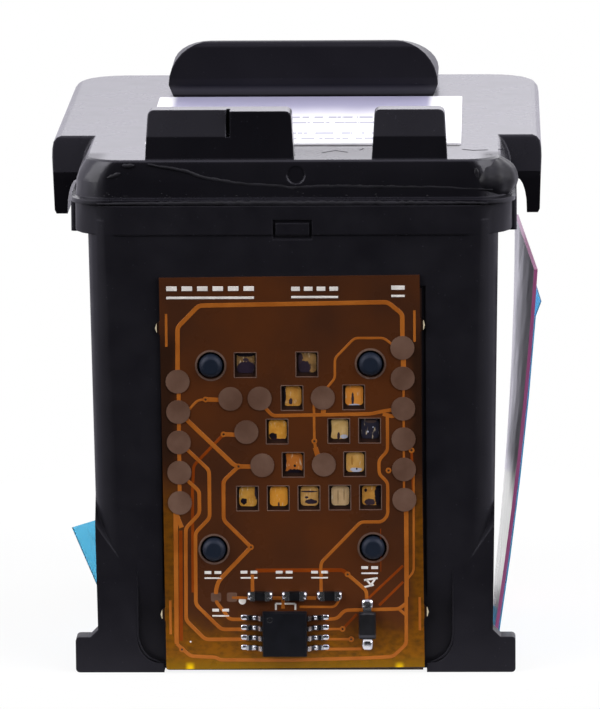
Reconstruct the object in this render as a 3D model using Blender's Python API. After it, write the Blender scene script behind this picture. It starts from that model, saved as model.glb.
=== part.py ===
"""Inkjet ink cartridge, standing on its nose with its contact wall towards -Y.

Pieces are laid out in millimetres in a frame that sits on the contact wall: X runs to the right
as one faces that wall, Y runs into the cartridge, Z runs up from the feet. new_object turns
millimetres into metres, and the cartridge empty moves that frame so that the world origin is the
middle of the cartridge's footprint.
"""

import math

import bmesh
import bpy
from mathutils import Vector

MM = 0.001

# Housing
WALL = 1.3
BODY_DEPTH = 37.0
BODY_HALF_WIDTH = 13.55
BODY_DRAFT_DEG = 0.85
FRONT_CORNER_RADIUS = 1.6
REAR_CORNER_RADIUS = 3.0
BELLY_HEIGHT = 8.5
BELLY_ROUNDING = 1.8
RIM_HEIGHT = 31.5
COLLAR_DROP = 2.0
COLLAR_REAR_DROP = 2.22
COLLAR_HALF_WIDTH = 14.8
COLLAR_OVERHANG = 1.0
COLLAR_FRONT_INSET = 0.33
COLLAR_FRONT_DEPTH = 3.4
COLLAR_CORNER_RADIUS = 3.0
COLLAR_PROUD = 0.08

# Front plate with its feet
PLATE_DEPTH = 1.6
FOOT_HALF_SPAN = 14.65
FOOT_HEIGHT = 2.4
FOOT_ROUNDING = 0.25
FOOT_FILLET = 0.5
RUNOUT_START = 7.7
RUNOUT_SIDE_SLOPE = 1.45
RUNOUT_DEPTH_SLOPE = 1.05

# Nose below the belly
NOSE_HALF_WIDTH = 11.3
NOSE_DEPTH = 20.0
NOSE_DRAFT_DEG = 1.0
NOSE_CORNER_RADIUS = 2.0
NOSE_RECESS = 0.9
REAR_LIP = 0.9
NOTCH_OFFSET = 7.0
NOTCH_WIDTH = 0.7
NOTCH_HEIGHT = 0.6

# Seat of the head's own flex circuit, and the scoops beside it
SEAT_HALF_WIDTH = 8.75
SEAT_TOP = 26.1
SEAT_DEPTH = 0.15
SEAT_STEP = 0.2
SEAT_ROUNDING = 0.3
SCOOP_OUTER = 10.5
SCOOP_TOP = 7.2
SCOOP_BOTTOM = 0.6
SCOOP_DEPTH = 0.45
SCOOP_ROUNDING = 1.6
DISH_OUTER = 9.7
DISH_TOP = 6.6
DISH_DEPTH = 1.0
POST_RADIUS = 0.77
POST_HALF_PITCH = 5.28
POST_HEIGHTS = (20.75, 8.35)
POST_PROUD = 0.5
POST_DOME_DEG = 75
FRAME_MARK_WIDTH = 2.6
FRAME_MARK_HEIGHT = 1.3
FRAME_MARK_BOTTOM = 29.22
FRAME_MARK_GROOVE = 0.2
FRAME_MARK_DEPTH = 0.1

# Ink chamber, standpipe and foam
FLOOR = 1.4
STANDPIPE_HALF_WIDTH = 5.0
STANDPIPE_WALL = 1.2
STANDPIPE_LEDGE = 0.45
STANDPIPE_HEIGHT = 1.7
FILTER_THICKNESS = 0.25
FILTER_SEAT_DEPTH = 0.45
SLOT_HALF_WIDTH = 0.8
FOAM_CLEARANCE = 0.3
FOAM_TOP_GAP = 0.5
FOAM_CORNER_RADIUS = 1.2

# Print head under the nose
DIE_CENTRE = 10.5
DIE_LENGTH = 13.4
DIE_HALF_WIDTH = 1.7
DIE_THICKNESS = 0.66
DIE_POCKET_MARGIN = 0.4
DIE_POCKET_DEPTH = 0.75
NOZZLE_PLATE_INSET = 0.75
NOZZLE_PLATE_THICKNESS = 0.05
BEAD_LENGTH = 1.3
BEAD_HALF_WIDTH = 2.4
BEAD_HEIGHT = 0.24

# Films
FILM_GAP = 0.02
HEAD_FLEX_HALF_WIDTH = 8.5
HEAD_FLEX_TOP = 25.9
HEAD_FLEX_THICKNESS = 0.1
HEAD_FLEX_END = 18.9
HEAD_FLEX_HOLE_RADIUS = 0.85
CONTACT_WIDTH = 1.18
CONTACT_HEIGHT = 1.32
CONTACT_ROUNDING = 0.25
CONTACT_THICKNESS = 0.05
CONTACT_SHIFT = (0.03, 0.1)

# How the circuits sit on the wall: turned a little about a place, and moved
CIRCUIT_TURN_DEG = 0.5
CIRCUIT_PIVOT = (0.0, 6.0)
CIRCUIT_SHIFT = (-0.05, 0.13)

# Grid of the contacts: the columns of each row, counted in pitches
COLUMN_START = -3.0
COLUMN_PITCH = 2.04
ROW_TOP = 20.75
ROW_PITCH = 2.25
CONTACT_ROWS = ((0, 2), (1.5, 3.5), (1, 3, 4), (1.5, 3.5), (0, 1, 2, 3, 4))

# Adapter circuit glued over the contacts
ADAPTER_HALF_WIDTH = 8.6
ADAPTER_BOTTOM = 0.2
ADAPTER_TOP = 26.65
ADAPTER_THICKNESS = 0.18
ADAPTER_GLUE_GAP = 0.06
ADAPTER_NUB_HEIGHTS = (3.95, 23.3)
ADAPTER_NUB_RADIUS = 0.5
ADAPTER_NUB_PROUD = 0.32
WINDOW_WIDTH = 1.4
WINDOW_HEIGHT = 1.62
POST_HOLE_RADIUS = 0.91
PAD_RADIUS = 0.8
PAD_THICKNESS = 0.05
PAD_PITCH = 2.045
LEFT_PADS_X = -7.49
LEFT_PADS_TOP = 19.7
LEFT_PADS_COUNT = 5
RIGHT_PADS_X = 7.4
RIGHT_PADS_TOP = 21.8
RIGHT_PADS_COUNT = 6
INNER_PADS = ((-0.5, 1), (0.45, 1), (2.5, 1), (0, 2), (0.5, 3), (2.5, 3))

# Parts soldered on the adapter
CASE_DRAFT = 0.08
CHIP_CENTRE = (-0.68, 2.78)
CHIP_WIDTH = 2.95
CHIP_HEIGHT = 3.05
CHIP_THICKNESS = 0.85
CHIP_STANDOFF = 0.1
LEAD_PITCH = 0.68
LEAD_WIDTH = 0.32
LEAD_THICKNESS = 0.16
LEAD_SPAN = 5.1
LEAD_FOOT = 0.6
LEADS_PER_SIDE = 4
RESISTOR_ROW_HEIGHT = 5.3
RESISTOR_COLUMNS = (-2.32, -0.03, 2.3)
RESISTOR_LENGTH = 1.3
RESISTOR_WIDTH = 0.58
RESISTOR_THICKNESS = 0.38
RESISTOR_CAP = 0.32
RESISTOR_CAP_PROUD = 0.03
DIODE_CENTRE = (4.81, 3.34)
DIODE_WIDTH = 1.14
DIODE_LENGTH = 1.78
DIODE_THICKNESS = 0.9
DIODE_SPAN = 3.0
DIODE_LEAD_WIDTH = 0.55
DIODE_LEAD_THICKNESS = 0.14

# Lid
LID_GAP = 0.05
LID_TOP = 34.45
LID_DEPTH = 41.2
LID_PLATE = 1.45
LID_FRONT_HALF_WIDTH = 14.4
LID_LIP = 0.3
LID_LIP_HEIGHT = 0.3
LID_FRONT = 0.3
LID_FRONT_RADIUS = 2.2
LID_RIM_WALL = 1.5
WING_HALF_WIDTH = 16.5
WING_TUCK = 0.25
WING_FOOT_THICKNESS = 0.75
WING_START = 11.25
WING_LEAN = 0.2
WING_REAR_RADIUS = 3.6
SKIRT_DROP = 2.4
SKIRT_ROUNDING = 0.3
LID_RIB_COUNT = 3
LID_RIB_PITCH = 6.0
LID_RIB_THICKNESS = 0.9
GATE_MARK_RADIUS = 0.6
GATE_MARK_DEPTH = 0.15
GATE_MARK_CENTRE = (0.25, 33.45)
VENT_GROOVE_WIDTH = 0.6
VENT_GROOVE_DEPTH = 0.3
VENT_HOLE_RADIUS = 0.5

# Latch blocks on the lid's front edge
BLOCK_FRONT = 0.75
BLOCK_DEPTH = 2.2
BLOCK_HEIGHT = 3.2
BLOCK_CREASE = 1.5
BLOCK_LEAN = 0.7
BLOCK_TAPER = 0.16
BLOCK_ROUNDING = 0.4
LEFT_BLOCK = (-9.7, 0.12)
RIGHT_BLOCK = (5.25, 10.22)
LEFT_BLOCK_GROOVE = -4.22
BLOCK_GROOVE_WIDTH = 0.25
BLOCK_GROOVE_DEPTH = 1.2

# Finger tab at the lid's user side
TAB_FRONT = 29.0
TAB_HALF_WIDTH = 9.4
TAB_BASE_HALF_WIDTH = 9.05
TAB_HEIGHT = 4.0
TAB_WAIST = 0.95
TAB_CORNER = 3.0
TAB_UNDERCUT = 0.35
TAB_CREST = 0.5
TAB_BACK_INSET = 1.0
TAB_SHELL = 1.4

# Label on the lid
LABEL_LEFT = -10.0
LABEL_RIGHT = 11.1
LABEL_FRONT = 6.8
LABEL_BACK = 28.7
LABEL_THICKNESS = 0.12

# Nozzle tape and its pull tab
TAPE_THICKNESS = 0.08
TAPE_FRONT = 3.0
TAPE_BACK = 17.6
TAPE_CLEARANCE = 0.3
TAPE_END_HEIGHT = 9.25
TAPE_END_LEAN_DEG = 20.3
TAPE_END_TWIST = 2.0
TAPE_END_SAG = 1.9
TAPE_TAB_OVERLAP = 24.3
TAPE_CURL = 0.3
PULL_TAB_THICKNESS = 0.24
PULL_TAB_FRONT = 4.0
PULL_TAB_BACK = 27.0
PULL_TAB_BOTTOM = 0.7
PULL_TAB_TOP = 26.5
PULL_TAB_FOOT = 13.3
PULL_TAB_FRONT_LEAN_DEG = 6.37
PULL_TAB_BACK_LEAN_DEG = 3.3
PULL_TAB_BACK_SHIFT = 0.2
PULL_TAB_FRONT_BOW = 0.3
PULL_TAB_BACK_BOW = 0.35
TAPE_SKEW = 1.3

# Facets, and how far a cutter reaches past what it cuts
ARC_STEPS = 5
BOW_STEPS = 8
ROUND_STEPS = 20
OVERSHOOT = 1.0

# Places that follow from the sizes above
COLLAR_BOTTOM = RIM_HEIGHT - COLLAR_DROP
CHAMBER_FLOOR = BELLY_HEIGHT + FLOOR
STANDPIPE_TOP = CHAMBER_FLOOR + STANDPIPE_HEIGHT
DIE_FRONT = DIE_CENTRE - DIE_LENGTH / 2
DIE_BACK = DIE_CENTRE + DIE_LENGTH / 2
HEAD_FLEX_BACK = SEAT_DEPTH - FILM_GAP
HEAD_FLEX_FRONT = HEAD_FLEX_BACK - HEAD_FLEX_THICKNESS
HEAD_FLEX_LEVEL = NOSE_RECESS - FILM_GAP - HEAD_FLEX_THICKNESS
ADAPTER_BACK = -ADAPTER_GLUE_GAP
ADAPTER_FRONT = ADAPTER_BACK - ADAPTER_THICKNESS
PART_SEAT = ADAPTER_FRONT - FILM_GAP
CHIP_FRONT = PART_SEAT - CHIP_STANDOFF - CHIP_THICKNESS
LID_BOTTOM = RIM_HEIGHT + LID_GAP
SKIRT_BOTTOM = LID_BOTTOM - SKIRT_DROP
CENTRE_Y = (CHIP_FRONT + LID_DEPTH) / 2


def clear_scene():
    """Removes every object, so that the script can run again in one session."""
    for obj in list(bpy.data.objects):
        bpy.data.objects.remove(obj, do_unlink=True)


def make_material(name, color, roughness, metallic=0.0):
    """A Principled material of one colour."""
    material = bpy.data.materials.get(name) or bpy.data.materials.new(name)
    material.use_nodes = True
    shader = material.node_tree.nodes["Principled BSDF"]
    shader.inputs["Base Color"].default_value = (*color, 1.0)
    shader.inputs["Roughness"].default_value = roughness
    shader.inputs["Metallic"].default_value = metallic
    material.diffuse_color = (*color, 1.0)
    return material


def new_object(name, mesh, material=None):
    """Links a mesh as an object of the cartridge."""
    obj = bpy.data.objects.new(name, mesh)
    bpy.context.scene.collection.objects.link(obj)
    obj.parent = bpy.data.objects["cartridge"]
    if material and not mesh.materials:
        mesh.materials.append(material)
    return obj


def ring_mesh(name, groups):
    """A mesh of closed solids, each lofted through a list of rings and capped at both ends."""
    bm = bmesh.new()
    for rings in groups:
        loops = [[bm.verts.new(Vector(point) * MM) for point in ring] for ring in rings]
        count = len(loops[0])
        for lower, upper in zip(loops, loops[1:]):
            for i in range(count):
                j = (i + 1) % count
                bm.faces.new((lower[i], lower[j], upper[j], upper[i]))
        bm.faces.new(list(reversed(loops[0])))
        bm.faces.new(loops[-1])
    bmesh.ops.recalc_face_normals(bm, faces=bm.faces)
    mesh = bpy.data.meshes.new(name)
    bm.to_mesh(mesh)
    bm.free()
    mesh.shade_smooth()
    mesh.set_sharp_from_angle(angle=math.radians(35))
    return mesh


def loft(name, rings, material=None):
    """One closed solid through rings that have the same number of points."""
    return new_object(name, ring_mesh(name, [rings]), material)


def along(axis, outline, position):
    """Places a flat outline across an axis: (x, z) across Y, (y, z) across X, (x, y) across Z."""
    if axis == "X":
        return [(position, a, b) for a, b in outline]
    if axis == "Y":
        return [(a, position, b) for a, b in outline]
    return [(a, b, position) for a, b in outline]


def prism_rings(outline, axis, start, end):
    """The two end rings of a straight extrusion."""
    return [along(axis, outline, start), along(axis, outline, end)]


def prism(name, outline, axis, start, end, material=None):
    """A straight extrusion of a flat outline."""
    return loft(name, prism_rings(outline, axis, start, end), material)


def rectangle(left, right, low, high):
    """A rectangle's corners, counter-clockwise."""
    return [(left, low), (right, low), (right, high), (left, high)]


def arc(centre, radii, start_deg, end_deg, steps=ARC_STEPS):
    """Points along an elliptic arc."""
    points = []
    for i in range(steps + 1):
        angle = math.radians(start_deg + (end_deg - start_deg) * i / steps)
        points.append((centre[0] + radii[0] * math.cos(angle), centre[1] + radii[1] * math.sin(angle)))
    return points


def circle(centre, radius, steps=ROUND_STEPS):
    """Points round a full circle."""
    return arc(centre, (radius, radius), 0, 360 * (steps - 1) / steps, steps - 1)


def rounded_rectangle(left, right, low, high, low_radius, high_radius=None):
    """A rectangle with round corners, which may differ between its low and its high side."""
    a = low_radius
    b = low_radius if high_radius is None else high_radius
    return (
        arc((left + a, low + a), (a, a), 180, 270)
        + arc((right - a, low + a), (a, a), 270, 360)
        + arc((right - b, high - b), (b, b), 0, 90)
        + arc((left + b, high - b), (b, b), 90, 180)
    )


def mirrored(right_half):
    """A symmetric outline from its right half, which runs from the bottom middle to the top middle."""
    return right_half + [(-x, z) for x, z in reversed(right_half)]


def combine(target, operand, operation):
    """Adds a Boolean that stays live on its target, and turns its operand into a hidden helper."""
    modifier = target.modifiers.new(f"{operation.lower()} {operand.name}", "BOOLEAN")
    modifier.operation = operation
    modifier.solver = "EXACT"
    modifier.object = operand
    operand.hide_render = True
    operand.display_type = "WIRE"


def cut(target, operand):
    combine(target, operand, "DIFFERENCE")


def add(target, operand):
    combine(target, operand, "UNION")


def keep(target, operand):
    combine(target, operand, "INTERSECT")


def body_half_width(height):
    """Half the housing's width at a height, which narrows downwards by the mould's draft."""
    return BODY_HALF_WIDTH - (COLLAR_BOTTOM - height) * math.tan(math.radians(BODY_DRAFT_DEG))


def column_x(column):
    """The place of a contact column, counted in pitches."""
    return COLUMN_START + column * COLUMN_PITCH


def row_z(row):
    """The height of a contact row, counted from the top."""
    return ROW_TOP - row * ROW_PITCH


def on_wall(places):
    """Where (x, z) places of the circuits lie on the contact wall, as the circuits are turned a little."""
    turn = math.radians(CIRCUIT_TURN_DEG)
    turned = []
    for x, z in places:
        x -= CIRCUIT_PIVOT[0]
        z -= CIRCUIT_PIVOT[1]
        across = x * math.cos(turn) - z * math.sin(turn)
        upward = x * math.sin(turn) + z * math.cos(turn)
        turned.append(
            (CIRCUIT_PIVOT[0] + across + CIRCUIT_SHIFT[0], CIRCUIT_PIVOT[1] + upward + CIRCUIT_SHIFT[1])
        )
    return turned


def contact_grid():
    """The (x, z) of each contact on the circuits' own grid."""
    return [(column_x(column), row_z(row)) for row, columns in enumerate(CONTACT_ROWS) for column in columns]


def post_places():
    """The (x, z) of each heat-staked post."""
    return on_wall([(side * POST_HALF_PITCH, height) for height in POST_HEIGHTS for side in (-1, 1)])


def pad_places():
    """The (x, z) of each round pad of the adapter."""
    left = [(LEFT_PADS_X, LEFT_PADS_TOP - i * PAD_PITCH) for i in range(LEFT_PADS_COUNT)]
    right = [(RIGHT_PADS_X, RIGHT_PADS_TOP - i * PAD_PITCH) for i in range(RIGHT_PADS_COUNT)]
    inner = [(column_x(column), row_z(row)) for column, row in INNER_PADS]
    return on_wall(left + inner + right)


def housing_outline():
    """The housing seen from the contact side, with a foot at each lower corner."""
    r = FOOT_ROUNDING
    side = body_half_width(FOOT_HEIGHT)
    half = [(0, 0)]
    half += arc((FOOT_HALF_SPAN - r, r), (r, r), 270, 360, 3)
    half += arc((FOOT_HALF_SPAN - r, FOOT_HEIGHT - r), (r, r), 0, 90, 3)
    half += [(side + FOOT_FILLET, FOOT_HEIGHT)]
    half += [(side, FOOT_HEIGHT + FOOT_FILLET)]
    half += [(body_half_width(RIM_HEIGHT), RIM_HEIGHT - COLLAR_DROP / 2)]
    return mirrored(half + [(0, RIM_HEIGHT - COLLAR_DROP / 2)])[1:-1]


def corner_blank(name, side, depth, radius, bottom):
    """What a round vertical corner takes off a square one: side is -1 or 1, depth 0 is the front."""
    inward = 1 if depth == 0 else -1
    rings = []
    for height in (bottom, RIM_HEIGHT):
        half = body_half_width(height)
        quarter = arc((half - radius, depth + inward * radius), (radius, radius), 0, -90 * inward)
        outside = [(half - radius, depth - inward * radius), (half + radius, depth - inward * radius)]
        outside.append((half + radius, depth + inward * radius))
        rings.append([(side * x, y, height) for x, y in quarter + outside])
    return loft(name, rings)


def runout_block(name, side):
    """The square corner above the plate: its top rises outwards and inwards, and a round corner meets it."""
    reach = 2 * FRONT_CORNER_RADIUS
    start = body_half_width(RUNOUT_START) - FRONT_CORNER_RADIUS
    plan = rectangle(start - FRONT_CORNER_RADIUS, start + reach, -FRONT_CORNER_RADIUS, reach)
    low = [(side * x, y, 0) for x, y in plan]
    high = []
    for x, y in plan:
        rise = (x - start) * RUNOUT_SIDE_SLOPE + y * RUNOUT_DEPTH_SLOPE
        high.append((side * x, y, RUNOUT_START + rise))
    return loft(name, [low, high])


def undercut():
    """All that is missing behind the front plate and below the belly, round the nose."""
    far = BODY_DEPTH + WALL
    outline = [(PLATE_DEPTH, -1)]
    outline += [(PLATE_DEPTH, BELLY_HEIGHT), (BODY_DEPTH - BELLY_ROUNDING, BELLY_HEIGHT)]
    outline += arc(
        (BODY_DEPTH - BELLY_ROUNDING, BELLY_HEIGHT + BELLY_ROUNDING), (BELLY_ROUNDING, BELLY_ROUNDING), 270, 360
    )[1:]
    outline += [(far, BELLY_HEIGHT + BELLY_ROUNDING), (far, -1)]
    span = FOOT_HALF_SPAN + WALL
    cutter = prism("cut_undercut", outline, "X", -span, span)
    rings = []
    for height in (-2, BELLY_HEIGHT + 1):
        widen = height * math.tan(math.radians(NOSE_DRAFT_DEG))
        half = NOSE_HALF_WIDTH + widen
        plan = rounded_rectangle(
            -half, half, PLATE_DEPTH / 2, NOSE_DEPTH + widen, PLATE_DEPTH / 4, NOSE_CORNER_RADIUS
        )
        rings.append(along("Z", plan, height))
    cut(cutter, loft("cut_nose_left_standing", rings))
    return cutter


def collar_rear():
    """The collar round the sides and the user side of the rim."""
    half = COLLAR_HALF_WIDTH
    plan = rounded_rectangle(
        -half, half, COLLAR_FRONT_DEPTH, BODY_DEPTH + COLLAR_OVERHANG, FOOT_ROUNDING, COLLAR_CORNER_RADIUS
    )
    return prism("add_collar_rear", plan, "Z", RIM_HEIGHT - COLLAR_REAR_DROP, RIM_HEIGHT)


def collar_front():
    """The collar's front, whose round corners stand a little inside its sides."""
    half = COLLAR_HALF_WIDTH - COLLAR_FRONT_INSET
    plan = rounded_rectangle(
        -half, half, -COLLAR_PROUD, COLLAR_FRONT_DEPTH + COLLAR_CORNER_RADIUS, COLLAR_CORNER_RADIUS, FOOT_ROUNDING
    )
    return prism("add_collar_front", plan, "Z", COLLAR_BOTTOM + FILM_GAP, RIM_HEIGHT - FILM_GAP)


def chamber():
    """The ink chamber, open at the rim."""
    rings = []
    for height in (CHAMBER_FLOOR, RIM_HEIGHT + 1):
        half = body_half_width(height) - WALL
        plan = rounded_rectangle(-half, half, WALL, BODY_DEPTH - WALL, FOOT_ROUNDING, REAR_CORNER_RADIUS - WALL)
        rings.append(along("Z", plan, height))
    return loft("cut_chamber", rings)


def standpipe_span():
    """The standpipe's front and back."""
    margin = STANDPIPE_WALL + DIE_POCKET_MARGIN
    return DIE_FRONT - margin, DIE_BACK + margin


def standpipe():
    """The raised block whose top carries the filter screen."""
    front, back = standpipe_span()
    plan = rounded_rectangle(-STANDPIPE_HALF_WIDTH, STANDPIPE_HALF_WIDTH, front, back, STANDPIPE_WALL)
    return prism("add_standpipe", plan, "Z", CHAMBER_FLOOR - FLOOR / 2, STANDPIPE_TOP)


def ink_well():
    """The funnel from the filter's ledge down to the slot behind the die."""
    front, back = standpipe_span()
    inset = STANDPIPE_WALL + STANDPIPE_LEDGE
    half = STANDPIPE_HALF_WIDTH - inset
    slot_top = NOSE_RECESS + DIE_POCKET_DEPTH + WALL
    wide = rounded_rectangle(-half, half, front + inset, back - inset, STANDPIPE_WALL / 2)
    narrow = rounded_rectangle(
        -SLOT_HALF_WIDTH, SLOT_HALF_WIDTH, front + inset, back - inset, SLOT_HALF_WIDTH / 2
    )
    levels = ((wide, STANDPIPE_TOP), (narrow, slot_top), (narrow, NOSE_RECESS))
    return loft("cut_ink_well", [along("Z", plan, height) for plan, height in levels])


def filter_seat():
    """The ledge that the filter screen lies on."""
    front, back = standpipe_span()
    half = STANDPIPE_HALF_WIDTH - STANDPIPE_WALL
    plan = rounded_rectangle(
        -half, half, front + STANDPIPE_WALL, back - STANDPIPE_WALL, STANDPIPE_WALL / 2
    )
    return prism("cut_filter_seat", plan, "Z", STANDPIPE_TOP - FILTER_SEAT_DEPTH, STANDPIPE_TOP + OVERSHOOT)


def die_pocket():
    """The pocket that the die is glued into."""
    half = DIE_HALF_WIDTH + DIE_POCKET_MARGIN
    plan = rectangle(-half, half, DIE_FRONT - DIE_POCKET_MARGIN, DIE_BACK + DIE_POCKET_MARGIN)
    return prism("cut_die_pocket", plan, "Z", -1, NOSE_RECESS + DIE_POCKET_DEPTH)


def flex_seat():
    """The shallow seat of the head's flex circuit, rounded where the film turns under the nose."""
    r = SEAT_ROUNDING
    outline = [(-1, SEAT_TOP), (-1, -1), (PLATE_DEPTH + r, -1), (PLATE_DEPTH + r, SEAT_STEP)]
    outline += arc((SEAT_DEPTH + r, SEAT_STEP + r), (r, r), 270, 180, 4)
    outline += [(SEAT_DEPTH, SEAT_TOP)]
    return prism("cut_flex_seat", outline, "X", -SEAT_HALF_WIDTH, SEAT_HALF_WIDTH)


def scoop(name, side, outer, top, depth):
    """A hollow beside the flex seat, deepest at the bottom and fading out upwards."""
    r = SCOOP_ROUNDING
    inner = SEAT_HALF_WIDTH - FOOT_ROUNDING
    outline = [(inner, SCOOP_BOTTOM)]
    outline += arc((outer - r, SCOOP_BOTTOM + r), (min(r, outer - inner), r), 270, 360)[1:]
    outline += [(outer, top + OVERSHOOT), (inner, top + OVERSHOOT)]
    slope = depth / (top - SCOOP_BOTTOM)
    front = [(side * x, -OVERSHOOT, z) for x, z in outline]
    floor = [(side * x, (top - z) * slope, z) for x, z in outline]
    return loft(name, [front, floor])


def posts():
    """The posts that hold the flex circuits, each with a domed end."""
    groups = []
    front = ADAPTER_FRONT - POST_PROUD
    for place in post_places():
        dome = POST_RADIUS / 2
        levels = [(SEAT_DEPTH + WALL / 2, POST_RADIUS)]
        for i in range(ARC_STEPS):
            angle = math.radians(POST_DOME_DEG * i / (ARC_STEPS - 1))
            radius = POST_RADIUS - dome + dome * math.cos(angle)
            levels.append((front + dome - dome * math.sin(angle), radius))
        groups.append([along("Y", circle(place, radius), depth) for depth, radius in levels])
    return new_object("add_posts", ring_mesh("add_posts", groups))


def frame_mark():
    """The groove of a small plain rectangle in the front, across the collar's lower edge."""
    low = FRAME_MARK_BOTTOM
    high = low + FRAME_MARK_HEIGHT
    half = FRAME_MARK_WIDTH / 2
    g = FRAME_MARK_GROOVE
    outer = rectangle(-half, half, low, high)
    inner = rectangle(-half + g, half - g, low + g, high - g)
    groove = prism("cut_frame_mark", outer, "Y", -OVERSHOOT, FRAME_MARK_DEPTH)
    cut(groove, prism("cut_frame_mark_middle", inner, "Y", -2 * OVERSHOOT, FRAME_MARK_DEPTH + OVERSHOOT))
    return groove


def housing(material):
    """The moulded housing: one piece with its nose, plate, feet, collar, posts and standpipe."""
    body = prism("body_shell", housing_outline(), "Y", 0, BODY_DEPTH, material)
    cut(body, undercut())
    for side, word in ((-1, "left"), (1, "right")):
        corner = corner_blank(f"cut_front_corner_{word}", side, 0, FRONT_CORNER_RADIUS, RUNOUT_START - 1)
        cut(corner, runout_block(f"cut_runout_{word}", side))
        cut(body, corner)
        cut(body, corner_blank(f"cut_rear_corner_{word}", side, BODY_DEPTH, REAR_CORNER_RADIUS, BELLY_HEIGHT - 1))
    recess = rectangle(PLATE_DEPTH, NOSE_DEPTH - REAR_LIP, -1, NOSE_RECESS)
    cut(body, prism("cut_nose_recess", recess, "X", -FOOT_HALF_SPAN, FOOT_HALF_SPAN))
    add(body, collar_rear())
    add(body, collar_front())
    cut(body, chamber())
    add(body, standpipe())
    cut(body, ink_well())
    cut(body, filter_seat())
    cut(body, die_pocket())
    cut(body, flex_seat())
    for side, word in ((-1, "left"), (1, "right")):
        cut(body, scoop(f"cut_scoop_{word}", side, SCOOP_OUTER, SCOOP_TOP, SCOOP_DEPTH))
        cut(body, scoop(f"cut_dish_{word}", side, DISH_OUTER, DISH_TOP, DISH_DEPTH))
        middle = side * NOTCH_OFFSET
        notch = rectangle(middle - NOTCH_WIDTH / 2, middle + NOTCH_WIDTH / 2, -1, NOTCH_HEIGHT)
        cut(body, prism(f"cut_notch_{word}", notch, "Y", -1, PLATE_DEPTH + WALL / 2))
    cut(body, frame_mark())
    add(body, posts())
    return body


def foam(material):
    """The foam that holds the ink, with a hollow where it sits on the standpipe."""
    rings = []
    for height in (CHAMBER_FLOOR + FOAM_CLEARANCE, RIM_HEIGHT - FOAM_TOP_GAP):
        half = body_half_width(height) - WALL - FOAM_CLEARANCE
        front = WALL + FOAM_CLEARANCE
        plan = rounded_rectangle(-half, half, front, BODY_DEPTH - front, FOAM_CORNER_RADIUS, REAR_CORNER_RADIUS)
        rings.append(along("Z", plan, height))
    block = loft("foam_reservoir", rings, material)
    front, back = standpipe_span()
    half = STANDPIPE_HALF_WIDTH + FOAM_CLEARANCE
    plan = rectangle(-half, half, front - FOAM_CLEARANCE, back + FOAM_CLEARANCE)
    cut(block, prism("cut_foam_foot", plan, "Z", CHAMBER_FLOOR, STANDPIPE_TOP + FOAM_CLEARANCE / 2))
    return block


def filter_screen(material):
    """The fine steel screen between foam and ink well."""
    front, back = standpipe_span()
    inset = STANDPIPE_WALL + FILM_GAP * 5
    half = STANDPIPE_HALF_WIDTH - inset
    plan = rounded_rectangle(-half, half, front + inset, back - inset, STANDPIPE_WALL / 2)
    level = STANDPIPE_TOP - FILTER_SEAT_DEPTH + FILM_GAP
    return prism("filter_screen", plan, "Z", level, level + FILTER_THICKNESS, material)


def print_head(silicon, gold, resin):
    """The die, its nozzle plate and the two resin beads over its end bonds."""
    top = NOSE_RECESS + DIE_POCKET_DEPTH - FILM_GAP
    plan = rectangle(-DIE_HALF_WIDTH, DIE_HALF_WIDTH, DIE_FRONT, DIE_BACK)
    die = prism("printhead_die", plan, "Z", top - DIE_THICKNESS, top, silicon)
    slot_half = SLOT_HALF_WIDTH / 3
    margin = STANDPIPE_WALL
    slot = rectangle(-slot_half, slot_half, DIE_FRONT + margin, DIE_BACK - margin)
    cut(die, prism("cut_die_slot", slot, "Z", 0, top + 1))
    half = DIE_HALF_WIDTH - FILM_GAP * 5
    plate_top = top - DIE_THICKNESS - FILM_GAP
    plate = rectangle(-half, half, DIE_FRONT + NOZZLE_PLATE_INSET, DIE_BACK - NOZZLE_PLATE_INSET)
    prism("nozzle_plate", plate, "Z", plate_top - NOZZLE_PLATE_THICKNESS, plate_top, gold)
    level = HEAD_FLEX_LEVEL - FILM_GAP
    for word, middle in (("front", DIE_FRONT), ("rear", DIE_BACK)):
        section = arc((middle, level), (BEAD_LENGTH / 2, BEAD_HEIGHT), 180, 360)
        prism(f"encapsulant_bead_{word}", section, "X", -BEAD_HALF_WIDTH, BEAD_HALF_WIDTH, resin)


def flex_path():
    """The head flex's outer side, as (y, z), from its top end down the wall and under the nose."""
    bend = SEAT_ROUNDING + HEAD_FLEX_THICKNESS - FILM_GAP
    level = SEAT_STEP - FILM_GAP - HEAD_FLEX_THICKNESS
    path = [(HEAD_FLEX_FRONT, HEAD_FLEX_TOP)]
    path += arc((HEAD_FLEX_FRONT + bend, level + bend), (bend, bend), 180, 270)
    rise_start = PLATE_DEPTH + WALL / 6
    path += [(rise_start, level), (rise_start + (HEAD_FLEX_LEVEL - level), HEAD_FLEX_LEVEL)]
    return path + [(HEAD_FLEX_END, HEAD_FLEX_LEVEL)]


def thickened(path, thickness):
    """A closed outline of even thickness on the left-hand side of an open path."""
    inner = []
    for i, (a, b) in enumerate(path):
        before = path[max(i - 1, 0)]
        after = path[min(i + 1, len(path) - 1)]
        first = Vector((a - before[0], b - before[1]))
        second = Vector((after[0] - a, after[1] - b))
        first = first.normalized() if first.length else second.normalized()
        second = second.normalized() if second.length else first
        normal = Vector((-(first.y + second.y), first.x + second.x)).normalized()
        stretch = thickness / normal.dot(Vector((-first.y, first.x)))
        inner.append((a + normal.x * stretch, b + normal.y * stretch))
    return path + inner[::-1]


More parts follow.
